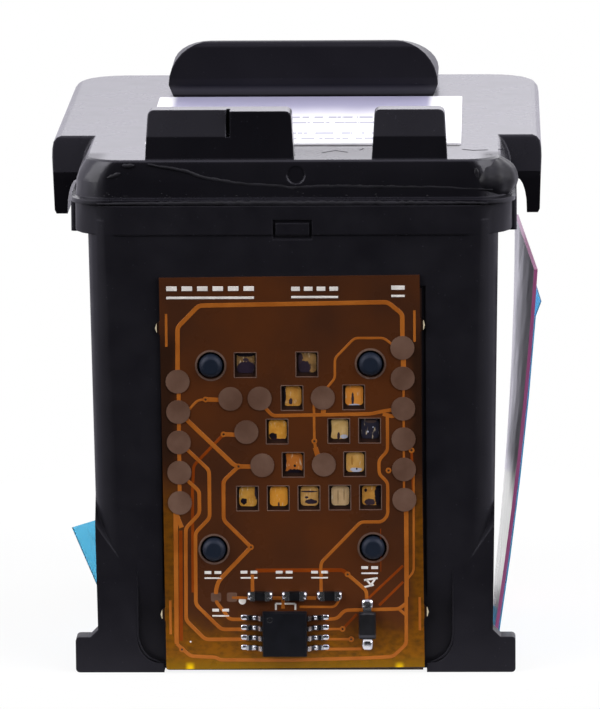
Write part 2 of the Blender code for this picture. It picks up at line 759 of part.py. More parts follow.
def head_flex(material):
    """The head's own circuit: down the contact wall, round the plate's edge and round the die."""
    film = prism(
        "head_flex", thickened(flex_path(), HEAD_FLEX_THICKNESS), "X", -HEAD_FLEX_HALF_WIDTH, HEAD_FLEX_HALF_WIDTH,
        material,
    )
    holes = [prism_rings(circle(place, HEAD_FLEX_HOLE_RADIUS), "Y", -1, 1) for place in post_places()]
    cut(film, new_object("cut_head_flex_holes", ring_mesh("cut_head_flex_holes", holes)))
    margin = DIE_POCKET_MARGIN
    half = DIE_HALF_WIDTH + margin
    window = rectangle(-half, half, DIE_FRONT - margin, DIE_BACK + margin)
    cut(film, prism("cut_die_window", window, "Z", HEAD_FLEX_LEVEL - 0.5, HEAD_FLEX_LEVEL + 1))
    return film


def head_contacts(material):
    """The gold contacts of the head's own circuit, which show through the adapter's windows."""
    half_width = CONTACT_WIDTH / 2
    half_height = CONTACT_HEIGHT / 2
    plan = rounded_rectangle(-half_width, half_width, -half_height, half_height, CONTACT_ROUNDING)
    mesh = ring_mesh("head_contact", [prism_rings(plan, "Y", -CONTACT_THICKNESS / 2, CONTACT_THICKNESS / 2)])
    depth = HEAD_FLEX_FRONT - FILM_GAP / 2 - CONTACT_THICKNESS / 2
    places = [(x + CONTACT_SHIFT[0], z + CONTACT_SHIFT[1]) for x, z in contact_grid()]
    for number, (x, z) in enumerate(on_wall(places), 1):
        contact = new_object(f"head_contact_{number:02d}", mesh, material)
        contact.location = Vector((x, depth, z)) * MM


def adapter_outline():
    """The adapter's edge, with the stubs of its break-off bridges."""
    edge = [(0, ADAPTER_BOTTOM), (ADAPTER_HALF_WIDTH, ADAPTER_BOTTOM)]
    for height in ADAPTER_NUB_HEIGHTS:
        centre = (ADAPTER_HALF_WIDTH + ADAPTER_NUB_PROUD - ADAPTER_NUB_RADIUS, height)
        reach = math.degrees(math.acos(1 - ADAPTER_NUB_PROUD / ADAPTER_NUB_RADIUS))
        edge += arc(centre, (ADAPTER_NUB_RADIUS, ADAPTER_NUB_RADIUS), -reach, reach, 4)
    edge += [(ADAPTER_HALF_WIDTH, ADAPTER_TOP), (0, ADAPTER_TOP)]
    return mirrored(edge)[1:-1]


def adapter_flex(material):
    """The adapter circuit with its contact windows and post holes."""
    film = prism("adapter_flex", on_wall(adapter_outline()), "Y", ADAPTER_FRONT, ADAPTER_BACK, material)
    openings = []
    for x, z in contact_grid():
        window = rectangle(x - WINDOW_WIDTH / 2, x + WINDOW_WIDTH / 2, z - WINDOW_HEIGHT / 2, z + WINDOW_HEIGHT / 2)
        openings.append(prism_rings(on_wall(window), "Y", -OVERSHOOT, OVERSHOOT))
    for place in post_places():
        openings.append(prism_rings(circle(place, POST_HOLE_RADIUS), "Y", -OVERSHOOT, OVERSHOOT))
    cut(film, new_object("cut_adapter_openings", ring_mesh("cut_adapter_openings", openings)))
    return film


def adapter_pads(material):
    """The round pads that meet the printer's pins."""
    rings = prism_rings(circle((0, 0), PAD_RADIUS), "Y", -PAD_THICKNESS / 2, PAD_THICKNESS / 2)
    mesh = ring_mesh("adapter_pad", [rings])
    for number, (x, z) in enumerate(pad_places(), 1):
        pad = new_object(f"adapter_pad_{number:02d}", mesh, material)
        pad.location = Vector((x, PART_SEAT - PAD_THICKNESS / 2, z)) * MM


def lead_section(side, body_edge, tip, middle):
    """A gull-wing lead seen along its width, as (offset along the lead, y)."""
    t = LEAD_THICKNESS
    knee = tip - LEAD_FOOT
    path = [
        (body_edge - t, middle), (body_edge + t, middle), (knee, PART_SEAT - t), (tip, PART_SEAT - t),
        (tip, PART_SEAT), (knee - t, PART_SEAT), (body_edge + t / 2, middle + t), (body_edge - t, middle + t),
    ]
    return [(side * a, b) for a, b in path]


def controller_chip(material):
    """The eight-lead chip."""
    x, z = CHIP_CENTRE
    half_width = CHIP_WIDTH / 2
    half_height = CHIP_HEIGHT / 2
    seat = PART_SEAT - CHIP_STANDOFF
    waist = (seat + CHIP_FRONT) / 2
    inset = CASE_DRAFT * CHIP_THICKNESS
    rings = []
    for depth, shrink in ((seat, inset), (waist, 0), (CHIP_FRONT, inset)):
        plan = rectangle(
            x - half_width + shrink, x + half_width - shrink, z - half_height + shrink, z + half_height - shrink
        )
        rings.append(along("Y", plan, depth))
    chip = loft("controller_chip", rings, material)
    leads = []
    for side in (-1, 1):
        section = lead_section(side, half_width, LEAD_SPAN / 2, waist)
        for i in range(LEADS_PER_SIDE):
            level = z + (i - (LEADS_PER_SIDE - 1) / 2) * LEAD_PITCH
            placed = [(x + a, b) for a, b in section]
            leads.append(prism_rings(placed, "Z", level - LEAD_WIDTH / 2, level + LEAD_WIDTH / 2))
    add(chip, new_object("add_chip_leads", ring_mesh("add_chip_leads", leads)))
    return chip


def resistors(material):
    """The chip resistors, each with a thicker metal cap at both ends."""
    half = RESISTOR_LENGTH / 2
    cap = half - RESISTOR_CAP
    proud = RESISTOR_CAP_PROUD
    half_width = RESISTOR_WIDTH / 2
    rings = []
    for offset, extra in ((-half, proud), (-cap, proud), (-cap, 0), (cap, 0), (cap, proud), (half, proud)):
        section = rectangle(-RESISTOR_THICKNESS - extra, 0, -half_width - extra, half_width + extra)
        rings.append(along("X", section, offset))
    mesh = ring_mesh("resistor", [rings])
    for number, x in enumerate(RESISTOR_COLUMNS, 1):
        resistor = new_object(f"resistor_{number}", mesh, material)
        resistor.location = Vector((x, PART_SEAT, RESISTOR_ROW_HEIGHT)) * MM


def diode(material):
    """The two-lead diode."""
    x, z = DIODE_CENTRE
    half_width = DIODE_WIDTH / 2
    half_length = DIODE_LENGTH / 2
    seat = PART_SEAT - DIODE_LEAD_THICKNESS / 4
    front = seat - DIODE_THICKNESS
    inset = CASE_DRAFT * DIODE_THICKNESS
    rings = []
    for depth, shrink in ((seat, inset), ((seat + front) / 2, 0), (front, inset)):
        plan = rectangle(
            x - half_width + shrink, x + half_width - shrink, z - half_length + shrink, z + half_length - shrink
        )
        rings.append(along("Y", plan, depth))
    body = loft("diode", rings, material)
    half_span = DIODE_SPAN / 2
    t = DIODE_LEAD_THICKNESS
    lead_half = DIODE_LEAD_WIDTH / 2
    foot = half_span - half_length
    strip = [
        (PART_SEAT, z - half_span), (PART_SEAT, z + half_span), (PART_SEAT - t, z + half_span),
        (PART_SEAT - t * 2, z + half_span - foot * 0.8), (PART_SEAT - t * 2, z - half_span + foot * 0.8),
        (PART_SEAT - t, z - half_span),
    ]
    add(body, prism("add_diode_leads", strip, "X", x - lead_half, x + lead_half))
    return body


def lid_plan(front_half, front, wing_half, wing_front, back, radius):
    """The lid seen from above: a narrow front part and a wider part with wings behind it."""
    r = radius
    b = WING_REAR_RADIUS - (WING_HALF_WIDTH - wing_half)
    right = arc((front_half - r, front + r), (r, r), 270, 360)
    right += [(front_half, wing_front), (wing_half, wing_front)]
    right += arc((wing_half - b, back - b), (b, b), 0, 90)
    return right + [(-x, y) for x, y in reversed(right)]


def lid_blank(material):
    """The lid's outer form down to the foot of its wings, still solid."""
    crease = LID_BOTTOM
    levels = (
        (SKIRT_BOTTOM, 0, LID_FRONT, WING_TUCK, WING_LEAN),
        (SKIRT_BOTTOM + 0.25, 0, LID_FRONT, WING_TUCK / 2, WING_LEAN * 0.9),
        (crease, -LID_LIP, LID_FRONT - LID_LIP, 0.06, 0),
        (crease + LID_LIP_HEIGHT, -LID_LIP, LID_FRONT - LID_LIP, 0.05, WING_LEAN * 0.1),
        (crease + LID_LIP_HEIGHT + 0.1, 0, LID_FRONT - 0.02, 0.04, WING_LEAN * 0.15),
        (33.0, 0.06, LID_FRONT, 0, WING_LEAN * 0.5),
        (33.6, 0.25, LID_FRONT + 0.06, 0.02, WING_LEAN * 0.7),
        (LID_TOP - 0.4, 0.5, LID_FRONT + 0.12, 0.1, WING_LEAN * 0.85),
        (LID_TOP - 0.12, 0.68, LID_FRONT + 0.18, 0.32, WING_LEAN),
        (LID_TOP, 0.85, LID_FRONT + 0.3, 0.62, WING_LEAN + 0.12),
    )
    rings = []
    for height, inset, front, wing_inset, lean in levels:
        plan = lid_plan(
            LID_FRONT_HALF_WIDTH - inset, front, WING_HALF_WIDTH - wing_inset, WING_START + lean,
            LID_DEPTH - wing_inset, LID_FRONT_RADIUS,
        )
        rings.append(along("Z", plan, height))
    return loft("lid", rings, material)


def lid_channel():
    """What is missing between the two wings' skirts, right through from front to back."""
    foot = WING_HALF_WIDTH - WING_TUCK - WING_FOOT_THICKNESS
    root = COLLAR_HALF_WIDTH + FILM_GAP
    curve = arc((root, SKIRT_BOTTOM + SKIRT_ROUNDING), (foot - root, SKIRT_DROP - SKIRT_ROUNDING), 0, 90)
    low = SKIRT_BOTTOM - OVERSHOOT
    half = [(0, low), (foot, low)] + curve + [(0, LID_BOTTOM)]
    return prism("cut_lid_channel", mirrored(half)[1:-1], "Y", -OVERSHOOT, LID_DEPTH + OVERSHOOT)


def finger_tab():
    """The raised tab: a round-cornered front that slopes down to the lid's far edge."""
    base = LID_TOP - LID_PLATE / 2
    waist = LID_TOP + TAB_WAIST
    crest = LID_TOP + TAB_HEIGHT
    half = [(0, base), (TAB_BASE_HALF_WIDTH, base), (TAB_BASE_HALF_WIDTH, LID_TOP)]
    half += arc((TAB_HALF_WIDTH - TAB_CORNER, waist), (TAB_CORNER, crest - waist), 0, 90, 8)
    front_view = prism("add_finger_tab", mirrored(half + [(0, crest)])[1:-1], "Y", TAB_FRONT - OVERSHOOT, LID_DEPTH)
    back = LID_DEPTH - TAB_BACK_INSET
    side_view = [(TAB_FRONT + TAB_UNDERCUT, base), (TAB_FRONT + TAB_UNDERCUT, LID_TOP), (TAB_FRONT, waist)]
    side_view += arc((TAB_FRONT + TAB_CREST, crest - TAB_CREST), (TAB_CREST, TAB_CREST), 180, 90, 5)
    side_view += [(back, LID_TOP - LID_GAP), (back, base)]
    span = TAB_HALF_WIDTH + OVERSHOOT
    keep(front_view, prism("keep_finger_tab_side", side_view, "X", -span, span))
    return front_view


def finger_tab_core():
    """The hollow under the finger tab, open to the chamber."""
    crest = LID_TOP + TAB_HEIGHT - TAB_SHELL
    front = TAB_FRONT + TAB_UNDERCUT + TAB_SHELL
    back = BODY_DEPTH - WALL - LID_RIM_WALL
    run = LID_DEPTH - TAB_BACK_INSET - (TAB_FRONT + TAB_CREST)
    low = crest - (back - front - TAB_CREST / 2) * TAB_HEIGHT / run
    floor = LID_TOP - LID_PLATE - OVERSHOOT
    outline = [(front, floor), (front, crest), (front + TAB_CREST / 2, crest), (back, low), (back, floor)]
    half = TAB_BASE_HALF_WIDTH - TAB_CORNER + TAB_SHELL
    return prism("cut_finger_tab_core", outline, "X", -half, half)


def latch_block(name, span, leaning_to):
    """A block on the lid's front edge; its upper face leans back as far as x = leaning_to."""
    left, right = span
    base = LID_TOP - LID_PLATE / 2
    top = LID_TOP + BLOCK_HEIGHT
    r = BLOCK_ROUNDING
    t = BLOCK_TAPER
    face = [(left, base), (right, base), (right, LID_TOP)]
    face += arc((right - t - r, top - r), (r, r), 0, 90, 4)
    face += arc((left + t + r, top - r), (r, r), 90, 180, 4)
    face += [(left, LID_TOP)]
    block = prism(name, face, "Y", BLOCK_FRONT, BLOCK_FRONT + BLOCK_DEPTH)
    crease = LID_TOP + BLOCK_CREASE
    reach = top + BLOCK_LEAN
    lean = BLOCK_LEAN * (reach - crease) / (top - crease)
    wedge = [(BLOCK_FRONT, crease), (BLOCK_FRONT + lean, reach), (BLOCK_FRONT - 1, reach), (BLOCK_FRONT - 1, crease)]
    cut(block, prism(f"{name}_lean", wedge, "X", left - 1, leaning_to))
    return block


def vent_path():
    """The vent's groove in the lid's top, under the label: a hole and a track that doubles back."""
    w = VENT_GROOVE_WIDTH
    left = column_x(1)
    right = column_x(3)
    front = (LABEL_FRONT + LABEL_BACK) / 2
    step = COLUMN_PITCH
    return [
        (left, front), (right, front), (right, front + step + w), (left, front + step + w),
        (left, front + step), (right - w, front + step), (right - w, front + w), (left, front + w),
    ]


def lid(material):
    """The lid with its wings, latch blocks, finger tab, foam ribs and vent."""
    cover = lid_blank(material)
    cut(cover, lid_channel())
    inner = COLLAR_HALF_WIDTH - LID_RIM_WALL - COLLAR_FRONT_INSET
    inside = rounded_rectangle(-inner, inner, LID_RIM_WALL, BODY_DEPTH - WALL, FOOT_ROUNDING, WALL)
    cut(cover, prism("cut_lid_inside", inside, "Z", LID_BOTTOM - 1, LID_TOP - LID_PLATE))
    overhang = rectangle(-inner, inner, BODY_DEPTH + COLLAR_OVERHANG, LID_DEPTH - WALL)
    cut(cover, prism("cut_lid_overhang", overhang, "Z", LID_BOTTOM - 1, LID_TOP - LID_PLATE))
    for i in range(LID_RIB_COUNT):
        x = (i - (LID_RIB_COUNT - 1) / 2) * LID_RIB_PITCH
        rib = rectangle(
            x - LID_RIB_THICKNESS / 2, x + LID_RIB_THICKNESS / 2, LID_RIM_WALL * 2, TAB_FRONT - LID_RIM_WALL
        )
        add(cover, prism(f"add_foam_rib_{i + 1}", rib, "Z", RIM_HEIGHT - FOAM_CLEARANCE / 2, LID_TOP - LID_PLATE / 2))
    add(cover, latch_block("add_left_block", LEFT_BLOCK, LEFT_BLOCK_GROOVE))
    add(cover, latch_block("add_right_block", RIGHT_BLOCK, RIGHT_BLOCK[1] + 1))
    half = BLOCK_GROOVE_WIDTH / 2
    groove = rectangle(
        LEFT_BLOCK_GROOVE - half, LEFT_BLOCK_GROOVE + half, LID_TOP + BLOCK_CREASE, LID_TOP + BLOCK_HEIGHT + 1
    )
    cut(cover, prism("cut_block_groove", groove, "Y", 0, BLOCK_FRONT + BLOCK_GROOVE_DEPTH))
    add(cover, finger_tab())
    cut(cover, finger_tab_core())
    gate = circle(GATE_MARK_CENTRE, GATE_MARK_RADIUS, 12)
    cut(cover, prism("cut_gate_mark", gate, "Y", -1, LID_FRONT + GATE_MARK_DEPTH))
    cut(cover, prism("cut_vent_groove", vent_path(), "Z", LID_TOP - VENT_GROOVE_DEPTH, LID_TOP + 1))
    hole_at = (column_x(1), (LABEL_FRONT + LABEL_BACK) / 2 + VENT_GROOVE_WIDTH / 2)
    hole = circle(hole_at, VENT_HOLE_RADIUS, 10)
    cut(cover, prism("cut_vent_hole", hole, "Z", LID_TOP - LID_PLATE - 1, LID_TOP + 1))
    return cover


def top_label(material):
    """The paper label on the lid."""
    plan = rounded_rectangle(LABEL_LEFT, LABEL_RIGHT, LABEL_FRONT, LABEL_BACK, FOOT_ROUNDING)
    level = LID_TOP + FILM_GAP
    return prism("top_label", plan, "Z", level, level + LABEL_THICKNESS, material)


def pull_tab_x(y, z):
    """The outer face of the pull tab: it leans out, more at its front edge than at its back, and is bowed."""
    share = (y - PULL_TAB_FRONT) / (PULL_TAB_BACK - PULL_TAB_FRONT)
    rise = (z - PULL_TAB_BOTTOM) / (PULL_TAB_TOP - PULL_TAB_BOTTOM)
    lean = PULL_TAB_FRONT_LEAN_DEG + (PULL_TAB_BACK_LEAN_DEG - PULL_TAB_FRONT_LEAN_DEG) * share
    bow = PULL_TAB_FRONT_BOW + (PULL_TAB_BACK_BOW - PULL_TAB_FRONT_BOW) * share
    foot = PULL_TAB_FOOT + PULL_TAB_BACK_SHIFT * share
    return foot + (z - PULL_TAB_BOTTOM) * math.tan(math.radians(lean)) + 4 * bow * rise * (1 - rise)


def pull_tab(material):
    """The stiff tab that stands beside the housing."""
    height = PULL_TAB_TOP - PULL_TAB_BOTTOM
    levels = [PULL_TAB_BOTTOM + height * i / BOW_STEPS for i in range(BOW_STEPS + 1)]
    rings = []
    for i in range(ARC_STEPS):
        y = PULL_TAB_FRONT + (PULL_TAB_BACK - PULL_TAB_FRONT) * i / (ARC_STEPS - 1)
        outer = [(pull_tab_x(y, z), z) for z in levels]
        inner = [(x - PULL_TAB_THICKNESS, z) for x, z in reversed(outer)]
        rings.append(along("Y", outer + inner, y))
    return loft("pull_tab", rings, material)


def tape_path(share):
    """The tape's outer side at a share of its width, as (x, z), from its free end to the pull tab."""
    y = TAPE_FRONT + (TAPE_BACK - TAPE_FRONT) * share + TAPE_SKEW
    bend = NOSE_RECESS
    level = TAPE_CLEARANCE
    corner = NOSE_HALF_WIDTH + TAPE_CLEARANCE + TAPE_THICKNESS
    lean = math.radians(TAPE_END_LEAN_DEG)
    end_height = TAPE_END_HEIGHT - TAPE_END_SAG * share
    top = (-corner - (end_height - level) * math.tan(lean) + TAPE_END_TWIST * share, end_height)
    path = [top, ((top[0] - corner) / 2, (top[1] + level + bend) / 2), (-corner - 0.2 * bend, level + 0.7 * bend)]
    path += [(-corner + 0.3 * bend, level), (0, level), (corner, level)]
    start = PULL_TAB_BOTTOM + bend
    gap = FILM_GAP * 2 + TAPE_THICKNESS
    path += [(pull_tab_x(y, PULL_TAB_BOTTOM) - 0.2 * bend, level)]
    path += [(pull_tab_x(y, PULL_TAB_BOTTOM) + gap, PULL_TAB_BOTTOM)]
    for i in range(ARC_STEPS):
        z = start + (TAPE_TAB_OVERLAP - 1 - start) * i / (ARC_STEPS - 1)
        path.append((pull_tab_x(y, z) + gap, z))
    return path + [(pull_tab_x(y, TAPE_TAB_OVERLAP) + gap + TAPE_CURL, TAPE_TAB_OVERLAP)]


def nozzle_tape(material):
    """The tape over the nozzles: its left end is free, its right end is stuck on the pull tab, further back."""
    steps = ARC_STEPS - 1
    sides = []
    for i in range(steps + 1):
        y = TAPE_FRONT + (TAPE_BACK - TAPE_FRONT) * i / steps
        outline = thickened(tape_path(i / steps), TAPE_THICKNESS)
        sides.append([(x, y + TAPE_SKEW * min(max(x / NOSE_HALF_WIDTH, 0), 1), z) for x, z in outline])
    return loft("nozzle_tape", sides, material)


def main():
    clear_scene()
    root = bpy.data.objects.new("cartridge", None)
    bpy.context.scene.collection.objects.link(root)
    root.location = Vector((0, -CENTRE_Y, 0)) * MM

    black = make_material("black_plastic", (0.012, 0.011, 0.014), 0.38)
    black_lid = make_material("black_lid_plastic", (0.012, 0.011, 0.014), 0.32)
    paper = make_material("label_paper", (0.85, 0.85, 0.88), 0.5)
    sponge = make_material("ink_foam", (0.02, 0.02, 0.024), 0.95)
    steel = make_material("steel_mesh", (0.5, 0.5, 0.5), 0.4, 1.0)
    silicon = make_material("silicon", (0.1, 0.1, 0.12), 0.2, 0.6)
    gold = make_material("gold_plating", (0.75, 0.5, 0.2), 0.3, 1.0)
    resin = make_material("resin_bead", (0.02, 0.02, 0.02), 0.25)
    dark_film = make_material("dark_film", (0.03, 0.015, 0.008), 0.35)
    amber_film = make_material("amber_film", (0.08, 0.03, 0.01), 0.3)
    pad_metal = make_material("pad_metal", (0.16, 0.12, 0.1), 0.45, 0.6)
    chip_case = make_material("chip_case", (0.015, 0.015, 0.02), 0.5)
    cap_metal = make_material("resistor_body", (0.03, 0.03, 0.035), 0.4)
    diode_case = make_material("diode_case", (0.012, 0.012, 0.012), 0.45)
    blue = make_material("blue_tape", (0.05, 0.35, 0.9), 0.3)
    magenta = make_material("magenta_tab", (0.45, 0.08, 0.25), 0.2)

    housing(black)
    foam(sponge)
    filter_screen(steel)
    print_head(silicon, gold, resin)
    head_flex(dark_film)
    head_contacts(gold)
    adapter_flex(amber_film)
    adapter_pads(pad_metal)
    controller_chip(chip_case)
    resistors(cap_metal)
    diode(diode_case)
    lid(black_lid)
    top_label(paper)
    pull_tab(magenta)
    nozzle_tape(blue)


main()
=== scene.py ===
"""Dresses the ink cartridge: its finishes, copper, solder, print and melted seam, and a studio."""

import logging
from dataclasses import dataclass, field, replace
from enum import Enum

import bmesh
import bpy
import numpy as np
from mathutils import Matrix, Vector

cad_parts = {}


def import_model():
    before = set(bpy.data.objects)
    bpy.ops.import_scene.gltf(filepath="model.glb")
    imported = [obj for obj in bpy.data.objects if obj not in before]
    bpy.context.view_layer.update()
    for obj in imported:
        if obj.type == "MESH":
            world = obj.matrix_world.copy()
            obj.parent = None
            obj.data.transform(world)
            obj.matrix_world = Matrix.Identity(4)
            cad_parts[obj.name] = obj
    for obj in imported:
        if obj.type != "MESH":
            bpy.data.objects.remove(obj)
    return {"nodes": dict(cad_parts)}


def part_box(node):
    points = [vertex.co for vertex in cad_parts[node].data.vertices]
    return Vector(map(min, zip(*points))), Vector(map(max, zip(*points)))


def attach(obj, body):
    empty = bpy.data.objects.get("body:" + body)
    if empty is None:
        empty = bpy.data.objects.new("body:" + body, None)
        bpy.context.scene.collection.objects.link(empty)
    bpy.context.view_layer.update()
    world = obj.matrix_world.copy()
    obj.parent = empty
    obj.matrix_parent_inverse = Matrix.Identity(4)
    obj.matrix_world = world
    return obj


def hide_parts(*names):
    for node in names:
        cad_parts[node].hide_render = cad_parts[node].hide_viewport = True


LOG = logging.getLogger("cartridge")
MM = 0.001
BODY = "root"
NODES: dict[str, bpy.types.Object] = {}
# A Map Range node's settings for a smooth rise as a value goes from one limit to another, up or down.
SMOOTH = {"interpolation_type": "SMOOTHSTEP"}

Point = tuple[float, float]
Place = tuple[float, float, float]
Route = tuple[Point, ...]
Color = tuple[float, float, float, float]
Tree = bpy.types.NodeTree
Socket = bpy.types.NodeSocket
Material = bpy.types.Material


class Side(Enum):
    """The two sides of the cartridge as one faces the contact wall."""

    LEFT = -1
    RIGHT = 1


def linear(code: str) -> Color:
    """Turns an sRGB hex colour into a linear one.

    Args:
        code: The colour as "#RRGGBB".

    Returns:
        Red, green, blue and an alpha of 1.
    """
    channels = np.array([int(code[i : i + 2], 16) for i in (1, 3, 5)]) / 255
    low = channels / 12.92
    high = ((channels + 0.055) / 1.055) ** 2.4
    red, green, blue = np.where(channels <= 0.04045, low, high)
    return float(red), float(green), float(blue), 1.0


def add(
    tree: Tree, kind: str, inputs: tuple | dict = (), output: str | int | None = None, **settings
) -> Socket | None:
    """Adds a node with its settings and its inputs.

    Args:
        tree: The node tree that takes the node.
        kind: The node's type without "ShaderNode".
        inputs: A value or a socket for each input, in order, or by name or number.
        output: The name or number of the wanted output, if that isn't the first one in use.
        **settings: Properties of the node.

    Returns:
        The output's socket, or None for a node without outputs.
    """
    node = tree.nodes.new(f"ShaderNode{kind}")
    for name, value in settings.items():
        setattr(node, name, value)
    for key, value in inputs.items() if isinstance(inputs, dict) else enumerate(inputs):
        if isinstance(value, Socket):
            tree.links.new(value, node.inputs[key])
        else:
            node.inputs[key].default_value = value
    if output is not None:
        return node.outputs[output]
    return next((socket for socket in node.outputs if socket.enabled), None)


def new_object(name: str, data: bpy.types.ID) -> bpy.types.Object:
    """Makes an object from its data and puts it into the scene."""
    made = bpy.data.objects.new(name, data)
    bpy.context.scene.collection.objects.link(made)
    return made


def stand(item: bpy.types.Object, axes: np.ndarray, place: np.ndarray) -> None:
    """Stands an object at a place with its own x, y and z along three axes, the rows of axes."""
    columns = np.stack([*axes, place], axis=1)
    item.matrix_world = Matrix([*columns.tolist(), [0.0, 0.0, 0.0, 1.0]])


@dataclass(frozen=True)
class Plan:
    """The frame of the sizes below: millimetres, with Y = 0 on the contact wall and Z = 0 at the feet."""

    wall_y: float

    def world(self, points: np.ndarray) -> np.ndarray:
        """Turns plan millimetres into world metres.

        Args:
            points: An array whose last axis is x, y, z.

        Returns:
            The same points in metres.
        """
        return points * MM + np.array([0.0, self.wall_y, 0.0])


@dataclass
class Shell:
    """Collects grids of points into one closed mesh."""

    plan: Plan
    points: list[np.ndarray] = field(default_factory=list)
    faces: list[tuple[int, ...]] = field(default_factory=list)
    count: int = 0

    def tube(self, grid: np.ndarray, closed: bool = False) -> None:
        """Adds a tube: rings of points along a path, joined by quads.

        Args:
            grid: An array of rings, each of points, each of x, y, z in plan millimetres.
            closed: Whether the last ring joins the first. If not, both ends are capped.
        """
        rows, columns = grid.shape[:2]
        index = np.arange(rows * columns).reshape(rows, columns) + self.count
        after = np.roll(index, -1, axis=1)
        quads = np.stack([index, after, np.roll(after, -1, axis=0), np.roll(index, -1, axis=0)], axis=-1)
        quads = quads[: rows if closed else rows - 1].reshape(-1, 4)
        self.faces += [tuple(quad) for quad in quads.tolist()]
        if not closed:
            self.faces += [tuple(index[0, ::-1].tolist()), tuple(index[-1].tolist())]
        self.points.append(grid.reshape(-1, 3))
        self.count += rows * columns

    def piece(self, name: str, material: Material, slot: str, smooth: float = 40.0) -> bpy.types.Object:
        """Makes the collected faces one object that rides on the cartridge.

        Args:
            name: The object's name.
            material: Its finish.
            slot: Not used; names the record's material slot that the finish stands for.
            smooth: The angle in degrees under which edges are shaded smooth.

        Returns:
            The new object.
        """
        mesh = bpy.data.meshes.new(name)
        mesh.from_pydata(self.plan.world(np.concatenate(self.points)).tolist(), [], self.faces)
        mesh.validate()
        mesh.materials.append(material)
        mesh.shade_smooth()
        mesh.set_sharp_from_angle(angle=np.radians(smooth))
        piece = new_object(name, mesh)
        self.face_outwards(mesh)
        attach(piece, BODY)
        LOG.info("%s: %d faces", name, len(mesh.polygons))
        return piece

    @staticmethod
    def face_outwards(mesh: bpy.types.Mesh) -> None:
        """Turns every closed part of a mesh the right way out.

        Args:
            mesh: The mesh to mend.
        """
        work = bmesh.new()
        work.from_mesh(mesh)
        bmesh.ops.recalc_face_normals(work, faces=work.faces)
        work.to_mesh(mesh)
        work.free()


def rounded(route: Route, radius: float) -> np.ndarray:
    """Rounds the corners of a route.

    Each corner becomes a quadratic curve from a point before it to a point after it, both at the
    radius or a little under half a leg away, whichever is less.

    Args:
        route: The route's points as (x, z).
        radius: How far from a corner its curve starts.

    Returns:
        The points of the rounded route.
    """
    points = np.array(route, dtype=float)
    if len(points) < 3:
        return points
    legs = np.diff(points, axis=0)
    lengths = np.linalg.norm(legs, axis=1, keepdims=True)
    reach = np.minimum(radius, lengths * 0.45)
    before = points[1:-1] - legs[:-1] / lengths[:-1] * reach[:-1]
    after = points[1:-1] + legs[1:] / lengths[1:] * reach[1:]
    share = np.linspace(0, 1, 5)[None, :, None]
    middle = points[1:-1, None]
    curves = (1 - share) ** 2 * before[:, None] + 2 * share * (1 - share) * middle + share**2 * after[:, None]
    return np.concatenate([points[:1], curves.reshape(-1, 2), points[-1:]])


def side_steps(path: np.ndarray) -> np.ndarray:
    """Finds the sideways step at each point of a path.

    The step is the mean of the two legs' normals, stretched so that the edges stay parallel to
    the legs.

    Args:
        path: Points as (x, z).

    Returns:
        One vector for each point, about one unit long.
    """
    legs = np.diff(path, axis=0)
    units = legs / np.linalg.norm(legs, axis=1, keepdims=True)
    normals = np.stack([-units[:, 1], units[:, 0]], axis=1)
    first = np.concatenate([normals[:1], normals])
    second = np.concatenate([normals, normals[-1:]])
    mean = first + second
    mean /= np.linalg.norm(mean, axis=1, keepdims=True)
    stretch = np.clip((mean * first).sum(axis=1, keepdims=True), 0.5, 1)
    return mean / stretch


def ribbon(route: Route, width: float, back: float, front: float, radius: float = 0.25) -> np.ndarray:
    """A flat strip on the contact face: a low trapezoid carried along a route.

    Args:
        route: The route's points as (x, z).
        width: The strip's width.
        back: The y of its back.
        front: The y of its front.
        radius: The rounding of its corners.

    Returns:
        Rings of four points.
    """
    path = rounded(route, radius)
    steps = side_steps(path)
    bevel = min(abs(front - back), width / 4)
    offsets = np.array([-width / 2, -width / 2 + bevel, width / 2 - bevel, width / 2])
    depths = np.array([back, front, front, back])
    across = path[:, None] + steps[:, None] * offsets[None, :, None]
    depth = np.broadcast_to(depths, across.shape[:2])
    return np.stack([across[..., 0], depth, across[..., 1]], axis=-1)


def flat_ring(
    centre: Point, inner: float, outer: float, back: float, front: float, count: int = 28,
) -> np.ndarray:
    """A flat ring on the contact face: a rectangle turned about the ring's axis.

    Args:
        centre: The ring's middle as (x, z).
        inner: Its inner radius.
        outer: Its outer radius.
        back: The y of its back.
        front: The y of its front.
        count: The number of facets round it.

    Returns:
        Rings of four points, the last of which joins the first.
    """
    angle = np.linspace(0, 2 * np.pi, count, endpoint=False)[:, None]
    radii = np.array([inner, inner, outer, outer])[None]
    depth = np.broadcast_to(np.array([back, front, front, back]), (count, 4))
    return np.stack([centre[0] + radii * np.cos(angle), depth, centre[1] + radii * np.sin(angle)], axis=-1)


def dome(
    centre: Point, half: Point, base: float, height: float, squareness: float = 0.6, lift: float = 1.0
) -> np.ndarray:
    """A drop on the contact face: superellipses that shrink as they rise.

    The outline is half times cosine and sine of the angle, each to the power of squareness. At a
    share s of the way up, it is cos(s 90 degrees) times as wide and sin(s 90 degrees) times as high.

    Args:
        centre: The drop's middle as (x, z).
        half: Its half width and half height.
        base: The y that it stands on.
        height: How far it stands out.
        squareness: 1 for an ellipse, less for a rounder-cornered rectangle.
        lift: Above 1 for a blunter drop.

    Returns:
        Rings of points from the base to the top.
    """
    angle = np.linspace(0, 2 * np.pi, 24, endpoint=False)[None]
    share = np.linspace(0, 0.97, 7)[:, None] * np.pi / 2
    cosine = np.sign(np.cos(angle)) * np.abs(np.cos(angle)) ** squareness
    sine = np.sign(np.sin(angle)) * np.abs(np.sin(angle)) ** squareness
    shrink = np.cos(share) ** (1 / lift)
    x = centre[0] + half[0] * cosine * shrink
    z = centre[1] + half[1] * sine * shrink
    y = base - height * np.sin(share) * np.ones_like(angle)
    return np.stack([x, y, z], axis=-1)


